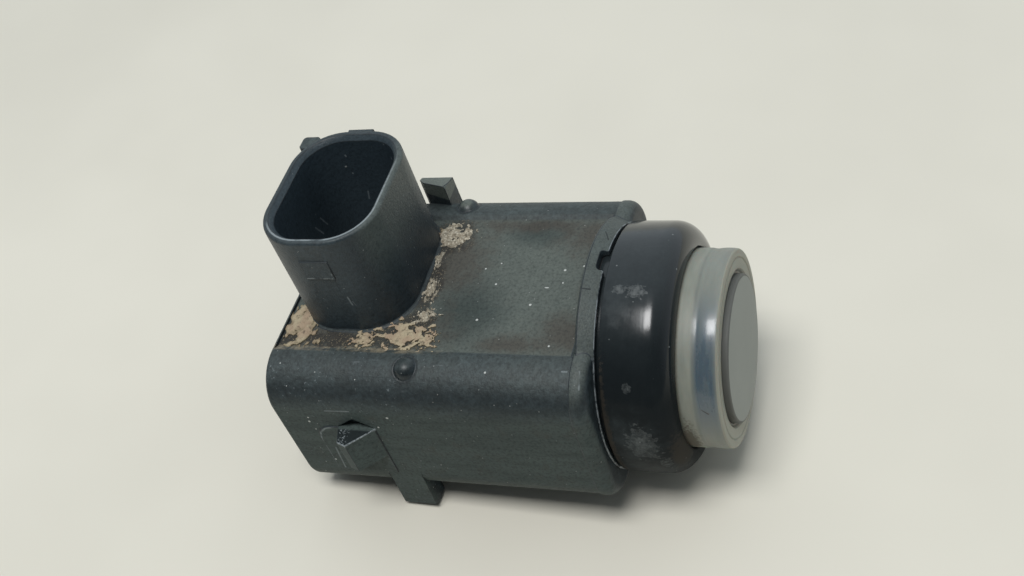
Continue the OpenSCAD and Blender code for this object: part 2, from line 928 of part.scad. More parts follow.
module protection_diode() {
    half = diode_l / 2;
    color("#26282a")
        translate([diode_x, diode_y, board_top])
            rotate([90, 0, 0])
                linear_extrude(height = diode_w, center = true)
                    polygon([[-half, 0], [half, 0], [half, diode_seam], [half - diode_draft, diode_h],
                             [diode_draft - half, diode_h], [-half, diode_seam]]);
}

// A row of blocks across the top of the board
module block_row(x, first_y, pitch, count, size) {
    for (i = [0:count - 1])
        translate([x - size.x / 2, first_y + i * pitch - size.y / 2, board_top])
            cube(size);
}

module chip_capacitors() {
    color("#9a7f5c")
        block_row(cap_row_x, -cap_pitch * (cap_count - 1) / 2, cap_pitch, cap_count, [cap_l, cap_w, cap_h]);
}

module chip_resistors() {
    color("#2b2b2e")
        block_row(res_row_x, res_y, res_pitch, res_count, [res_l, res_w, res_h]);
}

// A flat terminal with a chamfered tip, a shoulder under the socket's floor and a tail through the board
module terminal(place) {
    top = socket_floor + pin_h;
    shoulder_z = roof_z - pin_shoulder_h;
    tail_z = board_bottom - tail_out;
    translate([0, socket_y + place * pin_pitch, 0])
        along_x(socket_x - pin_t / 2, socket_x + pin_t / 2) {
            polygon([[-pin_w / 2, shoulder_z], [pin_w / 2, shoulder_z], [pin_w / 2, top - 2 * pin_edge],
                     [pin_w / 2 - pin_edge, top], [pin_edge - pin_w / 2, top],
                     [-pin_w / 2, top - 2 * pin_edge]]);
            translate([-pin_shoulder_w / 2, shoulder_z])
                square([pin_shoulder_w, pin_shoulder_h]);
            translate([-tail_w / 2, tail_z])
                square([tail_w, roof_z - tail_z]);
        }
}

module supply_pin() {
    color("#c9cacc")
        terminal(-1);
}

module signal_pin() {
    color("#c9cacc")
        terminal(0);
}

module ground_pin() {
    color("#c9cacc")
        terminal(1);
}

housing();
base_cover();
collar();
collar_gasket();
decoupling_ring();
membrane_pot();
piezo_disc();
damping_pad();
live_lead();
ground_lead();
contact_carrier();
near_contact();
far_contact();
circuit_board();
transformer_base();
transformer_core();
transformer_winding();
control_chip();
chip_leads();
storage_capacitor();
capacitor_base();
protection_diode();
chip_capacitors();
chip_resistors();
supply_pin();
signal_pin();
ground_pin();
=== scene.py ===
"""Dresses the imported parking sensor: finer skins, finishes, dried mud, a floor, a lamp and a camera."""

import logging
import math
from dataclasses import dataclass, field
from enum import Enum
from functools import reduce
from typing import Any, Iterable, Optional, Sequence, Union

import bpy
from mathutils import Matrix, Vector

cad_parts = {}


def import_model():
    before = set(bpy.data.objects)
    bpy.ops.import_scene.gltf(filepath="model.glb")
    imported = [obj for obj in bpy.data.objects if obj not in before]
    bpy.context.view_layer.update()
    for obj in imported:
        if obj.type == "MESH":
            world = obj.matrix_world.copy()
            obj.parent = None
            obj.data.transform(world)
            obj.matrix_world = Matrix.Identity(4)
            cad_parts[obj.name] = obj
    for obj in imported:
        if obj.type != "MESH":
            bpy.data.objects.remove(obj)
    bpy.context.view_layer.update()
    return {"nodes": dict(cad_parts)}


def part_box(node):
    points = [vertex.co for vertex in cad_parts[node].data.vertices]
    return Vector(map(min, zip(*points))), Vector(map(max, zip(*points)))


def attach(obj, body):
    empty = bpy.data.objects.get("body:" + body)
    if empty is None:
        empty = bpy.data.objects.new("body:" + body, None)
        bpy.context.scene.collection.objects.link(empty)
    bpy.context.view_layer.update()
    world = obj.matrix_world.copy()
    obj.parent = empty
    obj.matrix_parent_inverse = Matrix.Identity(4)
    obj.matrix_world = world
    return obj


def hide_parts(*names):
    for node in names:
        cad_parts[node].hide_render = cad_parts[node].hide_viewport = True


LOG = logging.getLogger("sensor")
MM = 0.001
BODY = "root"

Color = tuple[float, float, float]
Place = tuple[float, float, float]
Span = tuple[float, float]
Outline = list[tuple[float, float]]
Number = Union[float, "Val"]


def tone(code: str) -> Color:
    """Turns a display colour such as #24282c into the linear colour that shaders use.

    Args:
        code: Six hexadecimal digits after a hash sign.

    Returns:
        The linear red, green and blue.
    """
    shares = [int(code[i:i + 2], 16) / 255.0 for i in (1, 3, 5)]
    red, green, blue = (s / 12.92 if s <= 0.04045 else ((s + 0.055) / 1.055) ** 2.4 for s in shares)
    return red, green, blue


class Slot(Enum):
    """Names of material slots, listed beside the housing's pieces but not read."""

    HOUSING = "housing_black"
    COVER = "cover_black"
    COLLAR = "collar_gloss"
    SILICONE = "silicone"
    MEMBRANE = "membrane_paint"


class Cell(Enum):
    """What a Voronoi texture is asked for."""

    DISTANCE = "Distance"
    COLOR = "Color"


class Crust(Enum):
    """The two ways in which mud has dried on the panel."""

    FLAKE = "flake"
    CRUMBS = "crumbs"


@dataclass(frozen=True)
class Spot:
    """A soft-edged patch: middle (a, b) and half sizes (ra, rb), in the two measures that its finish uses."""

    a: float
    b: float
    ra: float
    rb: float


@dataclass(frozen=True)
class Stroke:
    """A straight scratch between two places, in millimetres."""

    start: Place
    end: Place


@dataclass(frozen=True)
class Patch:
    """A patch of dried mud, in millimetres: middle, half sizes and height. The seed varies its shape."""

    x: float
    y: float
    rx: float
    ry: float
    height: float
    kind: Crust
    seed: float


# Worn edges of the near flank's pad and of its barb, and a painted highlight along the socket's near plate.
PAD_EDGE: tuple[Stroke, ...] = (
    Stroke((-29.6, -14.85, 2.7), (-30.9, -14.85, 2.45)), Stroke((-30.9, -14.85, 2.45), (-31.8, -14.85, 1.6)),
    Stroke((-31.8, -14.85, 1.6), (-32.2, -14.85, 0.4)), Stroke((-32.2, -14.85, 0.4), (-32.2, -14.85, -4.6)))
BARB_EDGE: tuple[Stroke, ...] = (
    Stroke((-27.6, -17.2, 2.7), (-24.9, -14.85, 2.7)), Stroke((-28.7, -16.8, 2.7), (-27.6, -17.2, 2.7)))
PLATE_GLINT: tuple[Stroke, ...] = (
    Stroke((-29.8, -7.05, 17.5), (-26.7, -7.05, 17.5)), Stroke((-26.65, -7.05, 17.5), (-26.65, -7.05, 18.2)))


class Val:
    """A number that varies over a surface. Arithmetic on it adds Math nodes."""

    def __init__(self, graph: "Wiring", socket: bpy.types.NodeSocket) -> None:
        """Wraps a socket of a node tree."""
        self.graph = graph
        self.socket = socket

    def __add__(self, other: Number) -> "Val":
        """Returns the sum."""
        return self.graph.math("ADD", self, other)

    __radd__ = __add__

    def __sub__(self, other: Number) -> "Val":
        """Returns the difference."""
        return self.graph.math("SUBTRACT", self, other)

    def __rsub__(self, other: Number) -> "Val":
        """Returns the difference the other way round."""
        return self.graph.math("SUBTRACT", other, self)

    def __mul__(self, other: Number) -> "Val":
        """Returns the product."""
        return self.graph.math("MULTIPLY", self, other)

    __rmul__ = __mul__

    def square(self) -> "Val":
        """Returns the square."""
        return self * self

    def root(self) -> "Val":
        """Returns the square root."""
        return self.graph.math("SQRT", self)

    def size(self) -> "Val":
        """Returns the value without its sign."""
        return self.graph.math("ABSOLUTE", self)

    def sine(self) -> "Val":
        """Returns the sine of an angle in radians."""
        return self.graph.math("SINE", self)

    def larger(self, other: Number) -> "Val":
        """Returns the larger of two values."""
        return self.graph.math("MAXIMUM", self, other)

    def smaller(self, other: Number) -> "Val":
        """Returns the smaller of two values."""
        return self.graph.math("MINIMUM", self, other)

    def clip(self) -> "Val":
        """Returns the value kept between 0 and 1."""
        return self.larger(0.0).smaller(1.0)

    def step(self, low: float, high: float) -> "Val":
        """Rises smoothly from 0 to 1.

        Args:
            low: Where the rise starts. It may be the larger number, for a fall.
            high: Where the rise ends.

        Returns:
            The smooth step.
        """
        start, end, out = (low, high, (0.0, 1.0)) if low < high else (high, low, (1.0, 0.0))
        made = self.graph.node(
            "ShaderNodeMapRange", {"interpolation_type": "SMOOTHSTEP"},
            {"Value": self, "From Min": start, "From Max": end, "To Min": out[0], "To Max": out[1]})
        return Val(self.graph, made.outputs["Result"])

    def band(self, low: float, high: float, soft: float) -> "Val":
        """Returns 1 between two levels and 0 outside, with soft edges."""
        return self.step(low - soft, low + soft) * self.step(high + soft, high - soft)


class Wiring:
    """A node tree to which nodes are added by one method."""

    def __init__(self, tree: bpy.types.NodeTree) -> None:
        """Clears a node tree and takes it over."""
        self.tree = tree
        self.tree.nodes.clear()

    def find(self, sockets: Iterable[bpy.types.NodeSocket], key: str) -> bpy.types.NodeSocket:
        """Returns the socket that has this identifier, or else this name."""
        found = [s for s in sockets if s.identifier == key] or [s for s in sockets if s.name == key]
        return found[0]

    def node(self, kind: str, settings: Optional[dict[str, Any]] = None,
             sockets: Optional[dict[str, Any]] = None) -> bpy.types.Node:
        """Adds one node.

        Args:
            kind: The node's type.
            settings: Properties of the node, set before its sockets.
            sockets: Values or links of its inputs.

        Returns:
            The new node.
        """
        made = self.tree.nodes.new(kind)
        for key, value in (settings or {}).items():
            setattr(made, key, value)
        for key, value in (sockets or {}).items():
            target = self.find(made.inputs, key)
            if isinstance(value, Val):
                self.tree.links.new(value.socket, target)
            elif isinstance(value, bpy.types.NodeSocket):
                self.tree.links.new(value, target)
            elif target.type == "RGBA":
                target.default_value = (*value, 1.0)
            else:
                target.default_value = value
        return made

    def math(self, operation: str, first: Number, second: Optional[Number] = None) -> Val:
        """Adds a Math node.

        Args:
            operation: The Math node's operation.
            first: The first value.
            second: The second value, where the operation has one.

        Returns:
            The result.
        """
        sockets = {"Value": first} if second is None else {"Value": first, "Value_001": second}
        return Val(self, self.node("ShaderNodeMath", {"operation": operation}, sockets).outputs[0])

    def vector(self, operation: str, **sockets: Any) -> bpy.types.NodeSocket:
        """Adds a Vector Math node and returns the vector that it gives."""
        return self.node("ShaderNodeVectorMath", {"operation": operation}, sockets).outputs["Vector"]

    def measure(self, operation: str, **sockets: Any) -> Val:
        """Adds a Vector Math node and returns the number that it gives."""
        made = self.node("ShaderNodeVectorMath", {"operation": operation}, sockets)
        return Val(self, made.outputs["Value"])

    def split(self, vector: bpy.types.NodeSocket) -> tuple[Val, Val, Val]:
        """Returns the three parts of a vector."""
        parts = self.node("ShaderNodeSeparateXYZ", None, {"Vector": vector})
        return Val(self, parts.outputs["X"]), Val(self, parts.outputs["Y"]), Val(self, parts.outputs["Z"])

    def blend(self, amount: Val, under: Any, over: Any) -> bpy.types.NodeSocket:
        """Lays one colour over another.

        Args:
            amount: Cover of the upper colour, 0 to 1.
            under: The lower colour, or its socket.
            over: The upper colour, or its socket.

        Returns:
            The colour's socket.
        """
        mixed = self.node("ShaderNodeMix", {"data_type": "RGBA", "clamp_factor": True},
                          {"Factor_Float": amount, "A_Color": under, "B_Color": over})
        return self.find(mixed.outputs, "Result_Color")


class Graph(Wiring):
    """The node tree of one material, with places in millimetres."""

    CLOUD_ROUGHNESS = 0.6
    SPECK_CORE = 0.55
    SPECK_SOFT = 0.05
    MATT = {"Roughness": 0.7, "Specular IOR Level": 0.12}

    def __init__(self, name: str) -> None:
        """Starts an empty material.

        Args:
            name: The material's name.
        """
        self.material = bpy.data.materials.new(name)
        self.material.use_nodes = True
        super().__init__(self.material.node_tree)
        coords = self.node("ShaderNodeTexCoord").outputs["Object"]
        self.place = self.vector("SCALE", Vector=coords, Scale=1.0 / MM)
        self.x, self.y, self.z = self.split(self.place)

    def upward(self) -> Val:
        """Returns the upward part of the surface's direction."""
        return self.split(self.node("ShaderNodeNewGeometry").outputs["Normal"])[2]

    def turn(self) -> Val:
        """Returns the angle round the acoustic axis in degrees: 90 at the top, 180 on the near side."""
        angle = self.math("ARCTAN2", self.z, self.y)
        return self.math("FLOORED_MODULO", angle * math.degrees(1.0), 360.0)

    def radius(self) -> Val:
        """Returns the distance from the acoustic axis."""
        return (self.y.square() + self.z.square()).root()

    def noise(self, scale: float, detail: float, seed: float, share: Optional[Place] = None) -> Val:
        """Makes a cloudy pattern.

        Args:
            scale: Clouds per millimetre.
            detail: Octaves of finer clouds.
            seed: Picks another pattern.
            share: Factors on the place, to draw the clouds out.

        Returns:
            The pattern, about 0.5 on average.
        """
        where = self.place
        if share is not None:
            where = self.vector("MULTIPLY", Vector=self.place, Vector_001=share)
        made = self.node("ShaderNodeTexNoise", {"noise_dimensions": "4D"},
                         {"Vector": where, "W": seed, "Scale": scale, "Detail": detail,
                          "Roughness": self.CLOUD_ROUGHNESS})
        return Val(self, made.outputs[0])

    def cells(self, scale: float, ask: Cell = Cell.DISTANCE) -> Val:
        """Makes a pattern of cells.

        Args:
            scale: Cells per millimetre.
            ask: The distance from the cell's middle, or a number that is the cell's own.

        Returns:
            The pattern.
        """
        made = self.node("ShaderNodeTexVoronoi", None, {"Vector": self.place, "Scale": scale})
        found = made.outputs[ask.value]
        if ask is Cell.DISTANCE:
            return Val(self, found)
        return Val(self, self.node("ShaderNodeSeparateColor", None, {"Color": found}).outputs[0])

    def closeness(self, a: Val, b: Val, spots: Sequence[Spot]) -> Val:
        """Measures how far inside the nearest patch a place lies.

        Args:
            a: The place's first measure.
            b: Its second measure.
            spots: The patches, in the same two measures.

        Returns:
            1 in a patch's middle, 0 on its edge and less outside.
        """
        where = self.node("ShaderNodeCombineXYZ", None, {"X": a, "Y": b}).outputs["Vector"]
        away: list[Val] = []
        for spot in spots:
            factor = (1.0 / spot.ra, 1.0 / spot.rb, 0.0)
            offset = (-spot.a / spot.ra, -spot.b / spot.rb, 0.0)
            scaled = self.vector("MULTIPLY_ADD", Vector=where, Vector_001=factor, Vector_002=offset)
            away.append(self.measure("LENGTH", Vector=scaled))
        return 1.0 - reduce(Val.smaller, away)

    def strokes(self, lines: Sequence[Stroke]) -> Val:
        """Measures the distance to the nearest scratch.

        Args:
            lines: The scratches.

        Returns:
            The distance in millimetres.
        """
        away: list[Val] = []
        for line in lines:
            run = Vector(line.end) - Vector(line.start)
            off = self.vector("SUBTRACT", Vector=self.place, Vector_001=line.start)
            share = tuple(run / run.length_squared)
            along = self.measure("DOT_PRODUCT", Vector=off, Vector_001=share).clip()
            foot = self.vector("SCALE", Vector=tuple(run), Scale=along)
            away.append(self.measure("DISTANCE", Vector=off, Vector_001=foot))
        return reduce(Val.smaller, away)

    def specks(self, scale: float, reach: float, kept: float) -> Val:
        """Makes small round specks.

        Args:
            scale: Cells per millimetre, with one place for a speck in each.
            reach: A speck's radius as a share of its cell.
            kept: Share of the cells that stay empty.

        Returns:
            1 on a speck and 0 elsewhere.
        """
        speck = self.cells(scale).step(reach, self.SPECK_CORE * reach)
        return speck * self.cells(scale, Cell.COLOR).step(kept, kept + self.SPECK_SOFT)

    def shader(self, sockets: dict[str, Any]) -> bpy.types.NodeSocket:
        """Adds a Principled shader with these inputs and returns what it gives."""
        return self.node("ShaderNodeBsdfPrincipled", None, sockets).outputs["BSDF"]

    def surface(self, color: Any, rough: Number, height: Optional[Val] = None, depth: float = 0.0,
                other: Optional[dict[str, Any]] = None, dull: Optional[Val] = None) -> bpy.types.Material:
        """Closes the material with its shader.

        Args:
            color: The colour, or its socket.
            rough: The roughness.
            height: The relief, about 0 to 1.
            depth: The relief's depth in millimetres.
            other: Other inputs of the shader.
            dull: Share of the surface that has lost its gloss, 0 to 1.

        Returns:
            The material.
        """
        sockets: dict[str, Any] = {"Base Color": color, "Roughness": rough, **(other or {})}
        if height is not None:
            bump = self.node("ShaderNodeBump", None,
                             {"Strength": 1.0, "Distance": depth * MM, "Height": height})
            sockets["Normal"] = bump.outputs["Normal"]
        shown = self.shader(sockets)
        if dull is not None:
            matt = self.shader({"Base Color": color, **self.MATT})
            shown = self.node("ShaderNodeMixShader", None,
                              {"Fac": dull, "Shader": shown, "Shader_001": matt}).outputs["Shader"]
        self.node("ShaderNodeOutputMaterial", None, {"Surface": shown})
        return self.material


@dataclass(frozen=True)
class HousingChart:
    """Zones of the housing, each 1 inside and 0 outside, and the patterns that its dirt follows."""

    up: Val
    reach: Val
    top: Val
    panel: Val
    near: Val
    flank: Val
    socket: Val
    inside: Val
    clouds: Val
    patch: Val
    fine: Val
    grain: Val
    streaks: Val


@dataclass(frozen=True)
class BlackMoulding:
    """Grained black plastic with the dust, soil, specks and scratches of use, with painted shade and painted
    highlights.

    A span is a soft edge in millimetres: its zone is left out at the first place and full at the second.
    """

    name: str = "black_moulding"
    black: Color = tone("#0f161a")
    grey: Color = tone("#3b484d")
    dust: Color = tone("#646b64")
    green: Color = tone("#2c3833")
    cold: Color = tone("#3a474f")
    brown: Color = tone("#453f38")
    mossy: Color = tone("#4d5855")
    soil: Color = tone("#25211d")
    tan: Color = tone("#9b8f78")
    speck: Color = tone("#d5d8d4")
    pale: Color = tone("#9aa3a6")
    panel_z: float = 9.35
    panel_y: float = 9.3
    panel_rear: float = -36.0
    near_y: Span = (-9.6, -10.3)
    flank_y: Span = (-13.4, -14.4)
    flank_z: Span = (7.8, 4.4)
    socket_at: Span = (-28.25, 1.6)
    socket_flat: Span = (1.3, 3.2)
    outer_reach: Span = (5.75, 5.5)
    inner_reach: Span = (4.75, 4.5)
    plate_y: Span = (-5.6, -6.8)
    front_x: Span = (-24.0, -22.2)
    front_z: Span = (13.0, 20.0)
    dust_sheen_x: Span = (-24.0, -22.0)
    dust_sheen_z: Span = (13.0, 21.0)
    rim_z: float = 22.55
    rim_reach: Span = (4.62, 4.9)
    seam_x: Span = (-14.0, -24.0)
    seam_z: Span = (9.1, 9.3)
    ring_r: Span = (12.2, 12.6)
    ring_x: Span = (-2.5, -2.3)
    lug_y: Span = (10.7, 11.0)
    lug_z: Span = (9.9, 10.2)
    fleck_x: Span = (-8.0, -26.0)
    speck_x: Span = (-14.0, -22.0)
    ledge_y: Span = (-14.9, -15.2)
    ledge_z: Span = (2.0, 2.4)
    sparkle_x: Span = (-27.4, -28.2)
    bump_at: Place = (-20.1, 11.57, 8.93)
    bump_r: Span = (1.5, 1.3)
    bump_foot: Span = (1.32, 1.6)
    clean: tuple[Spot, ...] = (Spot(-16.0, -3.8, 5.0, 5.2), Spot(-10.6, 7.6, 4.0, 2.2))
    browned: tuple[Spot, ...] = (
        Spot(-4.4, 6.6, 4.2, 4.0), Spot(-4.0, -6.6, 4.4, 4.0), Spot(-2.6, 0.0, 1.6, 8.0),
        Spot(-19.4, 3.0, 5.4, 7.0), Spot(-20.0, -7.0, 5.4, 3.6), Spot(-33.0, -7.5, 5.0, 3.0),
        Spot(-9.4, -8.2, 5.0, 1.8), Spot(-12.0, 8.6, 10.0, 1.4), Spot(-29.0, -8.2, 6.0, 2.0))
    soiled: tuple[Spot, ...] = (
        Spot(-20.6, 7.2, 2.6, 3.0), Spot(-21.0, -0.8, 1.6, 4.0), Spot(-20.6, -5.2, 1.9, 1.6),
        Spot(-29.0, -8.3, 4.6, 1.3), Spot(-22.4, -7.8, 3.8, 2.0), Spot(-34.8, -7.4, 2.2, 2.6))
    dots: tuple[Spot, ...] = (
        Spot(-6.2, 2.1, 0.17, 0.17), Spot(-8.8, -2.8, 0.18, 0.18), Spot(-14.1, -5.0, 0.17, 0.17),
        Spot(-13.4, 0.0, 0.15, 0.15), Spot(-5.4, -8.2, 0.14, 0.14), Spot(-6.0, 0.3, 0.12, 0.12),
        Spot(-7.6, -0.4, 0.3, 0.1), Spot(-15.2, 2.2, 0.13, 0.13), Spot(-13.6, 3.0, 0.11, 0.11))
    flank_dots: tuple[Spot, ...] = (
        Spot(-32.55, 3.3, 0.16, 0.16), Spot(-32.4, 4.0, 0.12, 0.12), Spot(-22.75, 4.7, 0.17, 0.17),
        Spot(-24.4, 2.95, 0.14, 0.14), Spot(-31.95, -3.35, 0.14, 0.14))
    scratches: tuple[Stroke, ...] = (
        Stroke((-29.85, -14.7, 5.35), (-27.0, -14.7, 5.45)), Stroke((-26.4, -6.9, 14.6), (-26.3, -6.9, 13.4)),
        Stroke((-26.1, -6.9, 13.9), (-25.9, -6.9, 13.2)), Stroke((-22.8, -6.2, 18.1), (-23.0, -6.2, 17.4)),
        Stroke((-33.75, 4.15, 15.2), (-33.75, 4.8, 13.6)), Stroke((-33.75, 2.65, 15.2), (-33.75, 3.45, 13.5)),
        Stroke((-29.85, 9.0, 14.6), (-30.1, 9.0, 13.5)),
        Stroke((-31.04, -14.85, -1.1), (-31.32, -14.85, -4.8)),
        Stroke((-3.25, -9.7, 9.7), (-2.65, -9.7, 9.7)), Stroke((-3.2, -11.45, 9.5), (-2.7, -11.45, 9.5)),
        Stroke((-1.4, -11.4, 9.5), (-1.3, -12.95, 8.7)), Stroke((-21.9, 1.4, 21.8), (-21.8, 1.6, 21.0)),
        Stroke((-22.2, -0.6, 20.5), (-22.3, -1.1, 19.9)), Stroke((-30.5, 8.89, 20.1), (-30.5, 8.89, 19.9)),
        Stroke((-30.6, 8.87, 17.5), (-30.6, 8.87, 17.4)), Stroke((-25.13, 8.58, 21.8), (-25.13, 8.58, 21.7)),
        Stroke((-24.78, 8.4, 20.0), (-24.78, 8.4, 19.8)))
    cracks: tuple[Stroke, ...] = (
        Stroke((-2.3, -3.9, 13.2), (-1.3, -3.7, 12.9)), Stroke((-1.5, 4.4, 12.8), (-0.9, 3.1, 12.9)),
        Stroke((-0.95, -10.55, 9.68), (-0.55, -10.45, 9.69)))

    def socket_reach(self, g: Graph) -> Val:
        """Measures how far a place lies from the socket's inner lines.

        Args:
            g: The node tree.

        Returns:
            The distance: 5.3 on the socket's outer face and 4.2 on its inner face.
        """
        a = ((g.x - self.socket_at[0]).size() - self.socket_flat[0]).larger(0.0)
        b = ((g.y - self.socket_at[1]).size() - self.socket_flat[1]).larger(0.0)
        return (a.square() + b.square()).root()

    def panel(self, g: Graph, up: Val) -> Val:
        """Finds the sunken panel.

        Args:
            g: The node tree.
            up: The upward part of the surface's direction.

        Returns:
            1 on the panel and 0 elsewhere.
        """
        flat = g.z.band(self.panel_z - 0.3, self.panel_z + 0.12, 0.05) * up.step(0.7, 0.9)
        flat = flat * g.y.size().step(self.panel_y + 0.5, self.panel_y - 0.1)
        return flat * g.x.step(self.panel_rear - 0.2, self.panel_rear + 0.1)

    def chart(self, g: Graph) -> HousingChart:
        """Finds the housing's zones and makes the patterns that its dirt follows.

        Args:
            g: The node tree.

        Returns:
            The zones and patterns.
        """
        up, reach = g.upward(), self.socket_reach(g)
        return HousingChart(
            up=up,
            reach=reach,
            top=up.step(0.3, 0.95),
            panel=self.panel(g, up),
            near=g.y.step(*self.near_y),
            flank=g.y.step(*self.flank_y) * g.z.step(*self.flank_z),
            socket=reach.step(*self.outer_reach) * g.z.step(self.panel_z + 0.05, self.panel_z + 0.5),
            inside=reach.step(*self.inner_reach) * g.z.step(self.panel_z - 3.0, self.panel_z - 2.0),
            clouds=g.noise(0.16, 3.0, 1.0),
            patch=g.noise(0.5, 4.0, 2.0),
            fine=g.noise(2.2, 3.0, 3.0),
            grain=g.noise(5.5, 2.0, 4.0),
            streaks=g.noise(0.6, 3.0, 11.0, (0.2, 1.0, 1.3)))

    def ground(self, g: Graph, c: HousingChart) -> bpy.types.NodeSocket:
        """Lays the grey film of use over the black plastic, with painted shade on the socket's walls and the
        near rib's shoulder and painted light inside the socket.

        Args:
            g: The node tree.
            c: The zones and patterns.

        Returns:
            The colour's socket.
        """
        film = 0.1 + 0.35 * c.patch.step(0.25, 0.75) + 0.3 * c.clouds
        film = film + (0.5 + 0.8 * c.flank) * (c.streaks - 0.42)
        film = film * (0.3 + c.fine.step(0.3, 0.7) + 0.4 * c.grain)
        # Painted shade: the film is thinned on the socket's walls, apart from its near side and its upper
        # front, and a little inside the socket.
        shaded = 1.0 - g.y.step(*self.plate_y) - g.x.step(*self.front_x) * g.z.step(*self.front_z)
        film = film * (1.0 - 0.6 * c.socket * shaded.clip()) * (1.0 - 0.2 * c.inside)
        color = g.blend(film, self.black, self.grey)
        # The cold grey tints the socket's walls and lightens its inside: painted light in the recess.
        color = g.blend((0.4 * c.socket).larger(0.8 * c.inside), color, self.cold)
        # Dust and painted sky sheen lighten the upper part of the socket's front wall.
        dust_and_sheen = c.socket * g.x.step(*self.dust_sheen_x) * g.z.step(*self.dust_sheen_z)
        color = g.blend(dust_and_sheen * 0.5, color, self.dust)
        dusty = c.top * (1.0 - c.panel) * (1.0 - 0.5 * c.socket) * (0.08 + 0.44 * c.clouds)
        color = g.blend(dusty * (0.2 + 0.8 * c.fine + 0.5 * c.grain), color, self.dust)
        # Painted shade: the near rib's shoulder, between its top and its side, is darkened towards black.
        shoulder = c.near * c.up.band(0.25, 0.7, 0.15) * (0.4 + 0.6 * c.clouds)
        color = g.blend(shoulder * 0.5, color, self.black)
        color = g.blend(c.flank * (0.25 + 0.95 * c.streaks), color, self.mossy)
        return g.blend(c.flank * c.patch.step(0.5, 0.75) * 0.3, color, self.brown)

    def panel_dust(self, g: Graph, c: HousingChart, color: bpy.types.NodeSocket) -> bpy.types.NodeSocket:
        """Lays dust and brown stains on the panel.

        Args:
            g: The node tree.
            c: The zones and patterns.
            color: The colour under them.

        Returns:
            The colour's socket.
        """
        cleaned = (g.closeness(g.x, g.y, self.clean) + (c.patch - 0.5) * 1.2).step(-0.3, 0.9)
        cover = 0.48 + 0.3 * c.clouds + 0.3 * c.patch - 0.35 * cleaned
        cover = cover * (0.45 + 0.5 * c.fine + 0.6 * c.grain)
        color = g.blend(c.panel * cover, color, self.dust)
        color = g.blend(c.panel * cleaned * 0.5, color, self.green)
        stained = g.closeness(g.x, g.y, self.browned) + (c.patch - 0.5) * 1.8 + (c.fine - 0.5)
        return g.blend(c.panel * stained.step(-0.2, 0.9) * 0.72, color, self.brown)

    def soil_and_grit(self, g: Graph, c: HousingChart) -> tuple[Val, Val]:
        """Finds the dark soil on the panel and the pale grit in it.

        Args:
            g: The node tree.
            c: The zones and patterns.

        Returns:
            The soil and the grit, each 0 to 1.
        """
        close = g.closeness(g.x, g.y, self.soiled) + (c.patch - 0.5) * 1.3 + (c.fine - 0.5)
        soiled = c.panel * close.step(-0.2, 0.35)
        gritty = soiled * g.cells(3.4).step(0.4, 0.15) * g.cells(3.4, Cell.COLOR).step(0.45, 0.6)
        return soiled, gritty.larger(soiled * g.noise(4.0, 3.0, 17.0).step(0.54, 0.64) * 0.7)

    def seam(self, g: Graph, up: Val) -> Val:
        """Finds the dirt in the seam along the near rib.

        Args:
            g: The node tree.
            up: The upward part of the surface's direction.

        Returns:
            The dirt, 0 to 1.
        """
        line = g.y.band(-self.panel_y - 0.75, -self.panel_y + 0.1, 0.15) * g.x.step(*self.seam_x)
        line = line * up.step(0.5, 0.8) * g.z.step(*self.seam_z)
        return line * g.noise(0.9, 4.0, 6.0).step(0.4, 0.62)

    def raised_dust(self, g: Graph, c: HousingChart) -> Val:
        """Finds the dust on the front ring and on the far lug.

        Args:
            g: The node tree.
            c: The zones and patterns.

        Returns:
            The dust, from 0 up.
        """
        ring = g.radius().step(*self.ring_r) * g.x.step(*self.ring_x) * c.up.step(0.3, 0.8)
        lug = g.y.step(*self.lug_y) * g.z.step(*self.lug_z)
        return (0.8 * ring).larger(2.4 * lug) * (0.22 + 0.35 * c.grain.step(0.35, 0.65))

    def scuffs(self, g: Graph, c: HousingChart) -> Val:
        """Finds the pale flecks and scuffs of the near rib.

        Args:
            g: The node tree.
            c: The zones and patterns.

        Returns:
            The flecks and scuffs, 0 to 1.
        """
        flecks = c.near * g.x.step(*self.fleck_x) * g.noise(3.4, 2.0, 7.0).step(0.64, 0.7)
        rubbed = c.near * c.top * g.noise(1.6, 4.0, 8.0, (0.35, 1.6, 1.6)).step(0.62, 0.72)
        return (flecks * c.patch.step(0.42, 0.62) * 0.4).larger(rubbed * 0.16)

    def specks(self, g: Graph, c: HousingChart) -> Val:
        """Finds the pale specks, strewn ones and those that the photograph shows.

        Args:
            g: The node tree.
            c: The zones and patterns.

        Returns:
            The specks, 0 to 1.
        """
        strewn = g.specks(0.3, 0.05, 0.55).larger(c.near * g.x.step(*self.speck_x) * g.specks(0.9, 0.09, 0.6))
        strewn = strewn.larger(g.specks(1.3, 0.1, 0.7) * 0.4)
        shown = strewn.larger(c.panel * g.closeness(g.x, g.y, self.dots).step(0.0, 0.35))
        shown = shown * (1.0 - 0.4 * c.inside)
        return shown.larger(c.flank * g.closeness(g.x, g.z, self.flank_dots).step(0.0, 0.35))

    def rim(self, g: Graph, reach: Val) -> Val:
        """Finds the pale line along the near and right side of the socket's rim: part wear, part painted
        highlight.

        Args:
            g: The node tree.
            reach: The distance from the socket's inner lines.

        Returns:
            The line, 0 to 1.
        """
        side = (0.7 * (g.x - self.socket_at[0]) - (g.y - self.socket_at[1])).step(-1.0, 4.5)
        line = reach.band(*self.rim_reach, 0.05) * g.z.step(self.rim_z - 0.22, self.rim_z - 0.08)
        return line * side * g.noise(0.7, 3.0, 9.0).step(0.3, 0.55)

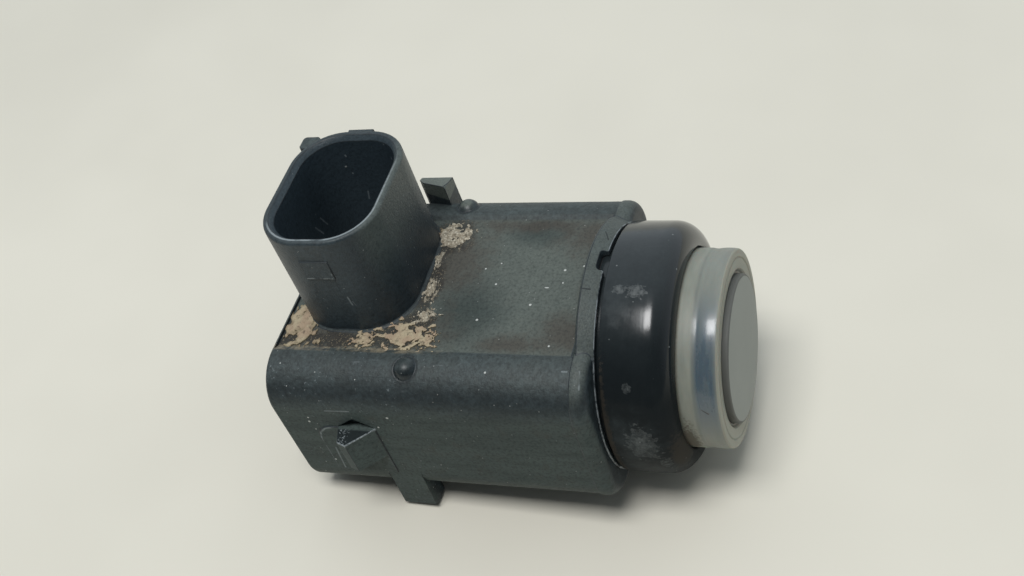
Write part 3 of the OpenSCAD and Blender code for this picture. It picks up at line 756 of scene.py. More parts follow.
    def wear_and_glints(self, g: Graph, c: HousingChart, ledge: Val) -> Val:
        """Finds scratches, worn edges and the painted highlights along the socket's rim and near plate.

        Args:
            g: The node tree.
            c: The zones and patterns.
            ledge: The near barb's upper face.

        Returns:
            The wear and painted highlights, 0 to 1.
        """
        scratch = g.strokes(self.scratches).step(0.13, 0.05) * (0.1 + 1.3 * c.fine).clip()
        sparkle = ledge * g.x.step(*self.sparkle_x) * g.noise(4.5, 2.0, 10.0).step(0.56, 0.62)
        barb = g.strokes(BARB_EDGE).step(0.16, 0.06) * g.noise(2.0, 3.0, 10.0).step(0.4, 0.55)
        pad = g.strokes(PAD_EDGE).step(0.16, 0.06) * g.noise(1.2, 3.0, 12.0).step(0.36, 0.55)
        # Painted highlight along the lower and right edges of the socket's near plate.
        plate = g.strokes(PLATE_GLINT).step(0.26, 0.08) * g.noise(1.8, 3.0, 13.0).step(0.44, 0.6)
        worn = (0.5 * scratch).larger(0.85 * sparkle.larger(barb)).larger(0.5 * pad.larger(plate))
        # The rim's pale line is part wear, part painted highlight.
        return worn.larger(0.7 * self.rim(g, c.reach))

    def bump(self, g: Graph) -> Val:
        """Returns the distance from the nearest locating bump's middle."""
        x, y, z = self.bump_at
        return ((g.x - x).square() + (g.y.size() - y).square() + (g.z.size() - z).square()).root()

    def dress(self) -> bpy.types.Material:
        """Makes the housing's material.

        Returns:
            The material.
        """
        g = Graph(self.name)
        c = self.chart(g)
        color = self.panel_dust(g, c, self.ground(g, c))
        soiled, gritty = self.soil_and_grit(g, c)
        color = g.blend(soiled * 0.6, color, self.soil)
        color = g.blend(gritty * 0.6, color, self.tan)
        color = g.blend(self.seam(g, c.up) * 0.6, color, self.tan)
        color = g.blend(g.noise(3.0, 2.0, 5.0).step(0.42, 0.75) * 0.45, color, self.black)
        color = g.blend(self.raised_dust(g, c), color, self.dust)
        color = g.blend(self.scuffs(g, c), color, self.pale)
        specks = self.specks(g, c)
        color = g.blend(specks * 0.75, color, self.speck)
        ledge = g.y.step(*self.ledge_y) * c.up.step(0.6, 0.9) * g.z.step(*self.ledge_z)
        # Painted shade: the near barb's upper face is darkened almost to black.
        color = g.blend(ledge * 0.85, color, self.black)
        # Pale wear, with the painted highlights along the socket's rim and near plate.
        worn = self.wear_and_glints(g, c, ledge)
        color = g.blend(worn, color, self.pale)
        color = g.blend(g.strokes(self.cracks).step(0.1, 0.05) * 0.85, color, self.black)
        bump = self.bump(g)
        glossy = bump.step(*self.bump_r)
        color = g.blend(bump.band(*self.bump_foot, 0.1) * 0.5, color, self.black)
        rough = 0.42 + 0.14 * c.patch + 0.22 * c.panel + 0.08 * c.top - 0.06 * c.socket
        rough = (rough - 0.16 * glossy - 0.12 * worn).larger(soiled * 0.8).clip()
        relief = 0.45 * c.grain + 0.6 * c.fine + specks * 0.6 + gritty + 0.8 * soiled * c.fine
        return g.surface(color, rough, relief * (1.0 - 0.75 * glossy), 0.08, {"IOR": 1.45}, c.flank * 0.7)


@dataclass(frozen=True)
class WornEdge:
    """The same plastic along its edges, where handling has worn it paler and smoother, with a painted
    highlight along the front ring's outer edge.
    """

    name: str = "worn_edge"
    black: Color = tone("#1f262a")
    grey: Color = tone("#3f484d")
    pale: Color = tone("#a7b0b4")
    ring_x: float = -0.8
    ring_r: float = 12.8

    def dress(self) -> bpy.types.Material:
        """Makes the material of the housing's edges.

        Returns:
            The material.
        """
        g = Graph(self.name)
        worn = g.noise(0.5, 4.0, 11.0).step(0.38, 0.72)
        fine = g.noise(3.0, 3.0, 12.0)
        color = g.blend((worn * (0.25 + 0.75 * fine)).clip(), self.black, self.grey)
        # Painted highlight, broken like wear, along the front ring's outer edge; the barb's edges are worn.
        ring = g.x.step(self.ring_x, self.ring_x + 0.15) * g.radius().step(self.ring_r - 0.1, self.ring_r)
        lines = g.strokes(BARB_EDGE).step(0.35, 0.15)
        edge_glint_and_wear = (ring * g.noise(1.0, 3.0, 13.0).step(0.38, 0.6)).larger(lines * fine.step(0.35, 0.6))
        color = g.blend(edge_glint_and_wear * 0.7, color, self.pale)
        return g.surface(color, 0.52 - 0.1 * worn, fine, 0.02, {"IOR": 1.5})


@dataclass(frozen=True)
class MudCrust:
    """Dried mud, from pale clay to dark soil."""

    name: str = "mud_crust"
    clay: Color = tone("#b0a388")
    pink: Color = tone("#a5917a")
    pebble: Color = tone("#d0cab8")
    brown: Color = tone("#6f614d")
    dark: Color = tone("#3a332a")
    fringe: Color = tone("#5b5238")
    panel_z: float = 9.35
    lumpy_x: Span = (-22.2, -21.6)
    lumpy_y: Span = (-6.1, -5.5)

    def dress(self) -> bpy.types.Material:
        """Makes the mud's material.

        Returns:
            The material.
        """
        g = Graph(self.name)
        broad, fine = g.noise(0.7, 4.0, 14.0), g.noise(3.2, 4.0, 15.0)
        grains = g.cells(3.4)
        lumpy = g.x.step(*self.lumpy_x) * g.y.step(*self.lumpy_y)
        color = g.blend(broad.step(0.4, 0.62), self.clay, self.pink)
        color = g.blend(lumpy * (0.55 + 0.6 * broad), color, self.pebble)
        spotted = fine.step(0.5, 0.75) * 0.55 + lumpy * grains.step(0.22, 0.5) * 0.5
        color = g.blend(spotted.clip(), color, self.brown)
        color = g.blend(g.noise(1.9, 4.0, 16.0).step(0.54, 0.68) * 0.6, color, self.dark)
        thin = g.z.step(self.panel_z + 0.16, self.panel_z + 0.08) * (1.0 - lumpy)
        color = g.blend(thin * 0.7, color, self.fringe)
        return g.surface(color, 0.92 - 0.1 * fine, fine - 0.8 * lumpy * grains, 0.1)


@dataclass(frozen=True)
class GlossCollar:
    """Glossy black plastic with dull scuffs, dust and fine handling marks."""

    name: str = "gloss_collar"
    black: Color = tone("#0e1417")
    haze: Color = tone("#474f51")
    scuff: Color = tone("#8d9291")
    dirt: Color = tone("#3b352c")
    dull_turn: Span = (146.0, 330.0)
    dull_soft: float = 14.0
    scuffs: tuple[Spot, ...] = (
        Spot(1.6, 105.5, 0.9, 2.2), Spot(3.3, 106.5, 1.2, 4.0), Spot(3.4, 178.0, 2.0, 12.0),
        Spot(2.7, 148.0, 0.5, 2.6), Spot(5.2, 194.0, 0.7, 6.0))
    hazes: tuple[Spot, ...] = (
        Spot(1.8, 112.0, 3.2, 17.0), Spot(2.6, 178.0, 3.6, 22.0), Spot(3.0, 205.0, 5.5, 24.0))
    soiled: tuple[Spot, ...] = (Spot(6.6, 194.0, 1.2, 24.0), Spot(0.1, 180.0, 0.7, 60.0))

    def dress(self) -> bpy.types.Material:
        """Makes the collar's material.

        Returns:
            The material.
        """
        g = Graph(self.name)
        turn, up = g.turn(), g.upward()
        fine, cloud = g.noise(2.6, 3.0, 21.0), g.noise(0.7, 4.0, 22.0)
        rubbed = g.noise(1.5, 4.0, 23.0, (0.8, 1.4, 1.4))
        streak = g.noise(2.4, 3.0, 24.0, (1.6, 0.12, 0.12))
        near = g.closeness(g.x, turn, self.scuffs) + (rubbed - 0.5) * 1.5 + (fine - 0.5) * 1.2
        scuffed = (near.step(0.05, 0.9) * 0.8).larger(near.band(0.2, 0.34, 0.12) * 0.7)
        scuffed = scuffed * (0.5 * fine + fine.square()).clip()
        hazy = (g.closeness(g.x, turn, self.hazes) + (cloud - 0.5) * 1.8).step(0.0, 0.9)
        hazy = hazy.larger(up.step(0.55, 1.0) * (0.4 + 0.5 * cloud))
        dirty = (g.closeness(g.x, turn, self.soiled) + (fine - 0.5) * 1.4).step(0.1, 0.7)
        film = 0.07 * cloud + 0.05 * streak + 0.3 * hazy * (0.5 + fine)
        color = g.blend(film.clip(), self.black, self.haze)
        color = g.blend(scuffed * 0.5, color, self.scuff)
        color = g.blend(g.specks(0.9, 0.1, 0.66) * 0.55, color, self.scuff)
        color = g.blend(dirty * 0.6, color, self.dirt)
        rough = (0.07 + 0.08 * streak + 0.04 * cloud + 0.1 * hazy + 0.4 * scuffed + 0.4 * dirty).clip()
        relief = 0.3 * fine + 0.6 * cloud + 0.3 * streak + scuffed
        dull = turn.band(*self.dull_turn, self.dull_soft) * (0.88 + 0.1 * cloud)
        return g.surface(color, rough, relief, 0.012, {"IOR": 1.5}, dull)


@dataclass(frozen=True)
class Silicone:
    """Translucent grey silicone: frosted at the collar, clearer in its middle, where its dark bluish tone is
    partly painted reflection, pale in front.
    """

    name: str = "silicone"
    frosted: Color = tone("#757a72")
    pale: Color = tone("#96988c")
    clear: Color = tone("#4d5c66")
    seam: Color = tone("#5c6260")
    rim: Color = tone("#98988a")
    dirt: Color = tone("#4d4436")
    nick: Color = tone("#23211f")
    collar_x: float = 6.95
    band_x: Span = (8.62, 10.8)
    front_x: float = 10.88
    groove_r: Span = (8.4, 8.1)
    clear_turn: Span = (108.0, 180.0)
    dirt_spots: tuple[Spot, ...] = (Spot(7.2, 196.0, 1.3, 26.0), Spot(7.0, 240.0, 0.8, 40.0))
    nicks: tuple[Stroke, ...] = (Stroke((9.1, -10.1, 2.55), (9.8, -10.2, 2.1)),)

    def dress(self) -> bpy.types.Material:
        """Makes the soft ring's material.

        Returns:
            The material.
        """
        g = Graph(self.name)
        turn = g.turn()
        cloud, fine = g.noise(0.6, 3.0, 31.0), g.noise(3.5, 3.0, 32.0)
        streak = g.noise(1.1, 3.0, 33.0, (1.3, 0.22, 0.22))
        # The clear band's dark bluish tone is partly the inside seen through it and partly painted
        # reflection, strongest on the upper near side.
        shown = turn.band(*self.clear_turn, 20.0)
        clear = g.x.band(*self.band_x, 0.4) * (0.15 + 0.85 * shown) * (0.35 + 1.1 * streak).clip()
        color = g.blend((streak * 1.3 - 0.2).clip(), self.frosted, self.pale)
        color = g.blend(clear, color, self.clear)
        line = g.x.band(self.band_x[0] - 0.2, self.band_x[0] + 0.05, 0.1) * (0.2 + 0.8 * cloud)
        color = g.blend(line * 0.5, color, self.seam)
        color = g.blend(g.x.step(self.front_x - 0.08, self.front_x) * (0.5 + 0.5 * fine), color, self.rim)
        # Darkens the groove round the pot.
        groove = g.x.step(self.front_x + 0.02, self.front_x - 0.1) * g.radius().step(*self.groove_r)
        color = g.blend(groove * 0.55, color, self.dirt)
        soiled = (g.closeness(g.x, turn, self.dirt_spots) + (fine - 0.5) * 1.5).step(0.0, 0.6)
        soiled = soiled.larger(g.x.step(self.collar_x + 0.3, self.collar_x + 0.02) * (0.3 + 0.5 * fine))
        color = g.blend(soiled * 0.75, color, self.dirt)
        nicked = g.strokes(self.nicks).step(0.11, 0.05)
        color = g.blend(nicked * 0.9, color, self.nick)
        rough = (0.46 - 0.26 * clear + 0.1 * fine + 0.3 * soiled).clip()
        return g.surface(color, rough, 0.3 * fine + 0.7 * cloud - nicked, 0.015,
                         {"Subsurface Weight": 0.15, "Subsurface Scale": 0.001, "Coat Weight": 0.55 * clear,
                          "Coat Roughness": 0.14})


@dataclass(frozen=True)
class MembraneCoat:
    """Fine matt grey paint on the membrane's face, with a dark bare side."""

    name: str = "membrane_coat"
    grey: Color = tone("#8c908b")
    light: Color = tone("#9b9f99")
    side: Color = tone("#585955")
    face_r: float = 7.44
    edge_x: float = 11.36

    def dress(self) -> bpy.types.Material:
        """Makes the membrane's material.

        Returns:
            The material.
        """
        g = Graph(self.name)
        fine, cloud = g.noise(5.0, 3.0, 41.0), g.noise(0.25, 3.0, 42.0)
        color = g.blend((0.5 * cloud + 0.6 * fine).clip(), self.grey, self.light)
        color = g.blend(g.specks(1.3, 0.09, 0.78) * 0.45, color, self.side)
        worn = g.radius() + (g.noise(1.4, 3.0, 43.0) - 0.5) * 0.16
        bare = worn.step(self.face_r, self.face_r + 0.12)
        bare = bare.larger(g.x.step(self.edge_x + 0.05, self.edge_x - 0.1))
        color = g.blend(bare * 0.92, color, self.side)
        return g.surface(color, 0.55 + 0.15 * fine, fine, 0.012)


@dataclass(frozen=True)
class PlainFinish:
    """A material between two display colours, with small changes of tone, gloss and relief."""

    name: str
    base: str
    over: str
    rough: float
    metal: float = 0.0
    grain: float = 2.5
    depth: float = 0.01
    drawn: Optional[Place] = None

    def dress(self) -> bpy.types.Material:
        """Makes the material.

        Returns:
            The material.
        """
        g = Graph(self.name)
        cloud = g.noise(0.5, 3.0, 51.0, self.drawn)
        fine = g.noise(self.grain, 3.0, 52.0, self.drawn)
        color = g.blend((0.5 * cloud + 0.5 * fine).clip(), tone(self.base), tone(self.over))
        rough = (self.rough - 0.1 + 0.2 * cloud).clip()
        return g.surface(color, rough, fine, self.depth, {"Metallic": self.metal})


@dataclass(frozen=True)
class BoardLacquer:
    """Green lacquered laminate with raised tracks and bare pads."""

    name: str = "board_lacquer"
    green: Color = tone("#1f4d2f")
    track: Color = tone("#2f6b43")
    pad: Color = tone("#b9b38f")
    pitch: float = 5.0

    def dress(self) -> bpy.types.Material:
        """Makes the board's material.

        Returns:
            The material.
        """
        g = Graph(self.name)
        along = (g.y * self.pitch).sine().step(0.35, 0.6) * g.noise(0.35, 1.0, 61.0).step(0.48, 0.52)
        across = (g.x * self.pitch).sine().step(0.45, 0.7) * g.noise(0.35, 1.0, 62.0).step(0.55, 0.58)
        tracks = along.larger(across)
        pads = g.cells(0.45).step(0.16, 0.13)
        color = g.blend(tracks, self.green, self.track)
        color = g.blend(pads, color, self.pad)
        return g.surface(color, 0.28 + 0.2 * pads, 0.6 * tracks + 0.4 * pads, 0.03)


@dataclass(frozen=True)
class WoundCopper:
    """Enamelled wire wound in even turns."""

    name: str = "wound_copper"
    copper: Color = tone("#b06a3a")
    gap: Color = tone("#4a2412")
    pitch: float = 0.18

    def dress(self) -> bpy.types.Material:
        """Makes the winding's material.

        Returns:
            The material.
        """
        g = Graph(self.name)
        turns = (g.z * (2.0 * math.pi / self.pitch)).sine() * 0.5 + 0.5
        color = g.blend(turns.step(0.05, 0.5), self.gap, self.copper)
        return g.surface(color, 0.3 + 0.1 * g.noise(1.0, 2.0, 71.0), turns, 0.05, {"Metallic": 0.8})


@dataclass(frozen=True)
class PaleFloor:
    """A plain pale stone floor."""

    name: str = "pale_floor"
    pale: Color = tone("#e4e0d2")
    shade: Color = tone("#d8d4c6")

    def dress(self) -> bpy.types.Material:
        """Makes the floor's material.

        Returns:
            The material.
        """
        g = Graph(self.name)
        color = g.blend(g.noise(0.02, 3.0, 81.0).step(0.3, 0.75) * 0.6, self.pale, self.shade)
        return g.surface(color, 0.6)


class Bench:
    """Mesh work as it is done by hand, on one piece at a time."""

    MERGE = 0.002 * MM
    FLAT_ANGLE = math.radians(0.6)
    EDGE_STEPS = 2
    TURN_STEPS = 160
    TURN_MERGE = 0.004 * MM
    TURN_CREASE = 28.0

    @staticmethod
    def box(node: str) -> tuple[Vector, Vector]:
        """Returns a CAD node's lowest and highest corners in millimetres."""
        low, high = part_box(node)
        return low / MM, high / MM

    @staticmethod
    def take(piece: bpy.types.Object) -> None:
        """Selects one piece alone and makes it active.

        Args:
            piece: The piece.
        """
        bpy.ops.object.select_all(action="DESELECT")
        piece.select_set(True)
        bpy.context.view_layer.objects.active = piece

    @staticmethod
    def copy(node: bpy.types.Object, name: str) -> bpy.types.Object:
        """Copies a CAD node's mesh to a new piece and merges its loose triangles.

        Args:
            node: The CAD node.
            name: The piece's name.

        Returns:
            The new piece.
        """
        piece = bpy.data.objects.new(name, node.data.copy())
        bpy.context.scene.collection.objects.link(piece)
        piece.data.materials.clear()
        Bench.take(piece)
        bpy.ops.object.mode_set(mode="EDIT")
        bpy.ops.mesh.select_all(action="SELECT")
        bpy.ops.mesh.customdata_custom_splitnormals_clear()
        bpy.ops.mesh.remove_doubles(threshold=Bench.MERGE)
        bpy.ops.mesh.dissolve_limited(angle_limit=Bench.FLAT_ANGLE)
        bpy.ops.object.mode_set(mode="OBJECT")
        return piece

    @staticmethod
    def soften(piece: bpy.types.Object, width: float, crease: float) -> None:
        """Rounds a piece's sharp edges and gives the rounded faces the second material.

        Args:
            piece: The piece.
            width: Width of the rounding in millimetres.
            crease: Smallest angle of an edge that is rounded, in degrees.
        """
        Bench.take(piece)
        bevel = piece.modifiers.new("soft_edges", "BEVEL")
        bevel.width = width * MM
        bevel.segments = Bench.EDGE_STEPS
        bevel.limit_method = "ANGLE"
        bevel.angle_limit = math.radians(crease)
        bevel.material = 1
        bevel.use_clamp_overlap = False
        bpy.ops.object.modifier_apply(modifier=bevel.name)

    @staticmethod
    def smooth(piece: bpy.types.Object, angle: float) -> None:
        """Shades a piece smooth, apart from edges sharper than an angle in degrees."""
        Bench.take(piece)
        bpy.ops.object.shade_smooth_by_angle(angle=math.radians(angle))

    @staticmethod
    def flatten_light(piece: bpy.types.Object) -> None:
        """Lets the larger faces lead the shading, so that flat faces look flat beside rounded edges.

        Args:
            piece: The piece.
        """
        Bench.take(piece)
        even = piece.modifiers.new("even_light", "WEIGHTED_NORMAL")
        even.keep_sharp = True
        bpy.ops.object.modifier_apply(modifier=even.name)

    @staticmethod
    def displace(piece: bpy.types.Object, texture: bpy.types.Texture, strength: float, level: float) -> None:
        """Raises a flat piece by a texture.

        Args:
            piece: The piece.
            texture: The texture, in the piece's own measures.
            strength: Height of a full step of the texture.
            level: The texture's value that stays in place.
        """
        Bench.take(piece)
        raised = piece.modifiers.new("relief", "DISPLACE")
        raised.texture = texture
        raised.texture_coords = "LOCAL"
        raised.direction = "Z"
        raised.strength = strength
        raised.mid_level = level
        bpy.ops.object.modifier_apply(modifier=raised.name)

    @staticmethod
    def turned(name: str, outline: Outline) -> bpy.types.Object:
        """Spins an outline about the acoustic axis.

        Args:
            name: The piece's name.
            outline: Points (along the axis, radius) in millimetres. It is closed if it starts off the axis.

        Returns:
            The new piece.
        """
        bpy.ops.object.select_all(action="DESELECT")
        bpy.ops.mesh.primitive_plane_add(size=MM, location=(0.0, 0.0, 0.0))
        piece = bpy.context.object
        piece.name = piece.data.name = name
        bpy.ops.object.mode_set(mode="EDIT")
        bpy.ops.mesh.select_all(action="SELECT")
        bpy.ops.mesh.merge(type="CENTER")
        points = [Vector((x * MM, 0.0, r * MM)) for x, r in outline]
        bpy.ops.transform.translate(value=points[0])
        for before, after in zip(points, points[1:]):
            bpy.ops.mesh.extrude_region_move(TRANSFORM_OT_translate={"value": after - before})
        if outline[0][1] > 0.0:
            bpy.ops.mesh.extrude_region_move(TRANSFORM_OT_translate={"value": points[0] - points[-1]})
        bpy.ops.mesh.select_all(action="SELECT")
        bpy.ops.mesh.spin(steps=Bench.TURN_STEPS, angle=2.0 * math.pi, center=(0.0, 0.0, 0.0),
                          axis=(1.0, 0.0, 0.0))
        bpy.ops.mesh.select_all(action="SELECT")
        bpy.ops.mesh.remove_doubles(threshold=Bench.TURN_MERGE)
        bpy.ops.mesh.normals_make_consistent(inside=False)
        bpy.ops.object.mode_set(mode="OBJECT")
        Bench.smooth(piece, Bench.TURN_CREASE)
        return piece

    @staticmethod
    def arc(x: float, r: float, size: float, start: float, end: float, steps: int) -> Outline:
        """Returns points of an arc in an outline.

        Args:
            x: The arc's middle along the axis.
            r: The arc's middle off the axis.
            size: The arc's radius.
            start: Its first angle in degrees, from +X towards outwards.
            end: Its last angle.
            steps: Steps along it.

        Returns:
            The points.
        """
        angles = [math.radians(start + (end - start) * i / steps) for i in range(steps + 1)]
        return [(x + size * math.cos(a), r + size * math.sin(a)) for a in angles]


def settle(piece: bpy.types.Object, nodes: Sequence[str] = ()) -> None:
    """Puts a finished piece on the body and the CAD nodes that it stands for.

    Args:
        piece: The piece.
        nodes: The CAD nodes that it stands for.
    """
    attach(piece, BODY)
    if nodes:
        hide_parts(*nodes)
    held = ", ".join(nodes) or "no node"
    LOG.info("%s: %d faces, stands for %s", piece.name, len(piece.data.polygons), held)


@dataclass
class HousingShell:
    """The moulded housing and its cover, with their edges rounded as the mould leaves them."""

    nodes: dict[str, bpy.types.Object]
    edge: float = 0.07
    crease: float = 34.0
    smooth_below: float = 32.0
    finish: BlackMoulding = field(default_factory=BlackMoulding)
    worn: WornEdge = field(default_factory=WornEdge)
    cover: PlainFinish = PlainFinish("cover_moulding", "#1c2023", "#33393c", 0.55, grain=4.0, depth=0.02)

    def build(self) -> None:
        """Builds and dresses the housing and the cover underneath."""
        skin, edges, plain = self.finish.dress(), self.worn.dress(), self.cover.dress()
        for node, name, slot, material in (("housing", "housing_skin", Slot.HOUSING, skin),
                                           ("base_cover", "cover_skin", Slot.COVER, plain)):
            piece = Bench.copy(self.nodes[node], name)
            piece.data.materials.append(material)
            piece.data.materials.append(edges)
            Bench.soften(piece, self.edge, self.crease)
            Bench.smooth(piece, self.smooth_below)
            Bench.flatten_light(piece)
            settle(piece, [node])


@dataclass(frozen=True)
class CrustShape:
    """How far the dome and the ragged clouds raise a kind of crust, and the clouds' size, in half widths."""

    dome: float
    ragged: float
    clouds: float


CRUST_SHAPES: dict[Crust, CrustShape] = {
    Crust.FLAKE: CrustShape(dome=1.2, ragged=2.5, clouds=0.34),
    Crust.CRUMBS: CrustShape(dome=1.0, ragged=1.4, clouds=0.42),
}


@dataclass
class DriedMud:
    """The mud that has dried on the panel round the foot of the socket."""

    panel_z: float = 9.35
    rear_x: float = -35.9
    near_y: float = -9.6
    grid: int = 72
    span: float = 2.6
    cut: float = 0.3
    cloud_depth: int = 5
    cloud_level: float = 0.52
    lump_size: float = 0.22
    lump_rise: float = -0.9
    lump_level: float = 0.3
    shift_slope: float = 0.4
    flake_rise: float = 0.4
    flake_thickness: float = 0.3
    smooth_below: float = 50.0
    finish: MudCrust = field(default_factory=MudCrust)
    patches: tuple[Patch, ...] = (
        Patch(-34.2, -6.2, 2.6, 4.2, 0.35, Crust.FLAKE, 1.0),
        Patch(-21.8, -7.4, 2.9, 2.25, 0.5, Crust.FLAKE, 4.0),
        Patch(-26.1, -8.1, 1.5, 1.3, 0.4, Crust.FLAKE, 7.0),
        Patch(-18.9, -8.0, 1.2, 1.2, 0.4, Crust.FLAKE, 9.0),
        Patch(-20.3, 7.0, 3.2, 3.3, 0.7, Crust.CRUMBS, 15.0),
        Patch(-20.6, -0.9, 1.3, 3.0, 0.55, Crust.CRUMBS, 18.0),
        Patch(-20.0, -4.6, 1.5, 1.7, 0.5, Crust.CRUMBS, 21.0),
        Patch(-21.2, 3.4, 0.9, 2.2, 0.45, Crust.CRUMBS, 27.0))

    def textures(self) -> dict[str, bpy.types.Texture]:
        """Makes the textures that shape a patch.

        Returns:
            A dome, ragged clouds for each kind of crust, and round lumps, by name.
        """
        dome = bpy.data.textures.new("mud_dome", "BLEND")
        dome.progression = "SPHERICAL"
        made = {"dome": dome}
        for kind, shape in CRUST_SHAPES.items():
            ragged = bpy.data.textures.new(f"mud_{kind.value}", "CLOUDS")
            ragged.noise_scale = shape.clouds
            ragged.noise_depth = self.cloud_depth
            made[kind.value] = ragged
        made["lumps"] = bpy.data.textures.new("mud_lumps", "VORONOI")
        made["lumps"].noise_scale = self.lump_size
        return made

    def shift(self, amount: float) -> None:
        """Moves the active piece's mesh aside, so that a texture falls on it elsewhere.

        Args:
            amount: How far along X, in the piece's own measures.
        """
        bpy.ops.object.mode_set(mode="EDIT")
        bpy.ops.mesh.select_all(action="SELECT")
        bpy.ops.transform.translate(value=(amount, self.shift_slope * amount, 0.0))
        bpy.ops.object.mode_set(mode="OBJECT")

    def patch(self, made: Patch, textures: dict[str, bpy.types.Texture]) -> bpy.types.Object:
        """Models one patch.

        Args:
            made: The patch.
            textures: The textures that shape it.

        Returns:
            The patch's object.
        """
        flake, shape = made.kind is Crust.FLAKE, CRUST_SHAPES[made.kind]
        bpy.ops.object.select_all(action="DESELECT")
        bpy.ops.mesh.primitive_grid_add(x_subdivisions=self.grid, y_subdivisions=self.grid, size=self.span,
                                        location=(0.0, 0.0, 0.0))
        piece = bpy.context.object
        Bench.displace(piece, textures["dome"], shape.dome, 0.0)
        self.shift(made.seed)
        Bench.displace(piece, textures[made.kind.value], shape.ragged, self.cloud_level)
        if not flake:
            Bench.displace(piece, textures["lumps"], self.lump_rise, self.lump_level)
        self.shift(-made.seed)
        bpy.ops.object.mode_set(mode="EDIT")
        bpy.ops.mesh.select_all(action="SELECT")
        bpy.ops.mesh.bisect(plane_co=(0.0, 0.0, self.cut), plane_no=(0.0, 0.0, 1.0), clear_inner=True)
        bpy.ops.mesh.select_all(action="SELECT")
        if flake:
            bpy.ops.transform.resize(value=(1.0, 1.0, self.flake_rise), center_override=(0.0, 0.0, self.cut))
            lift = (0.0, 0.0, self.flake_thickness)
            bpy.ops.mesh.extrude_region_move(TRANSFORM_OT_translate={"value": lift})
        bpy.ops.object.mode_set(mode="OBJECT")
        piece.scale = Vector((made.rx, made.ry, made.height)) * MM
        piece.location = Vector((made.x, made.y, self.panel_z - self.cut * made.height)) * MM
        bpy.ops.object.transform_apply(location=True, rotation=True, scale=True)
        return piece

    def build(self) -> None:
        """Builds all the patches, joins them and dresses them."""
        textures = self.textures()
        made = [self.patch(p, textures) for p in self.patches]
        Bench.take(made[0])
        for piece in made:
            piece.select_set(True)
        bpy.ops.object.join()
        mud = bpy.context.object
        mud.name = mud.data.name = "dried_mud"
        bpy.ops.object.mode_set(mode="EDIT")
        for way, edge in (((-1.0, 0.0, 0.0), self.rear_x), ((0.0, -1.0, 0.0), self.near_y)):
            bpy.ops.mesh.select_all(action="SELECT")
            bpy.ops.mesh.bisect(plane_co=Vector(way) * -edge * MM, plane_no=way, clear_outer=True)
        bpy.ops.object.mode_set(mode="OBJECT")
        mud.data.materials.append(self.finish.dress())
        Bench.smooth(mud, self.smooth_below)
        settle(mud)


@dataclass
class Collar:
    """The glossy collar, turned with a rounded nose and a soft inner lip."""

    radius: float
    length: float
    rear: float
    nose: float = 2.55
    spigot: float = 12.35
    pocket: float = 11.4
    bore: float = 10.45
    shoulder: float = 3.0
    edge: float = 0.12
    lip: float = 0.35
    finish: GlossCollar = field(default_factory=GlossCollar)

    @classmethod
    def measured(cls) -> "Collar":
        """Returns a collar as large as the CAD node."""
        low, high = Bench.box("collar")
        return cls(radius=high.y, length=high.x, rear=low.x)

    def outline(self) -> Outline:
        """Draws the collar's outline.

        Returns:
            Its points, from the bore's rear end round the outside.
        """
        e = self.edge
        return [
            (self.shoulder, self.bore), (self.shoulder, self.pocket), (self.rear, self.pocket),
            (self.rear, self.spigot), (0.0, self.spigot),
            *Bench.arc(e, self.radius - e, e, 180.0, 90.0, 4),
            *Bench.arc(self.length - self.nose, self.radius - self.nose, self.nose, 90.0, 0.0, 20),
            *Bench.arc(self.length - self.lip, self.bore + self.lip, self.lip, 0.0, -90.0, 5),
        ]

    def build(self) -> None:
        """Builds and dresses the collar."""
        piece = Bench.turned("collar_skin", self.outline())
        piece.data.materials.append(self.finish.dress())
        settle(piece, ["collar"])


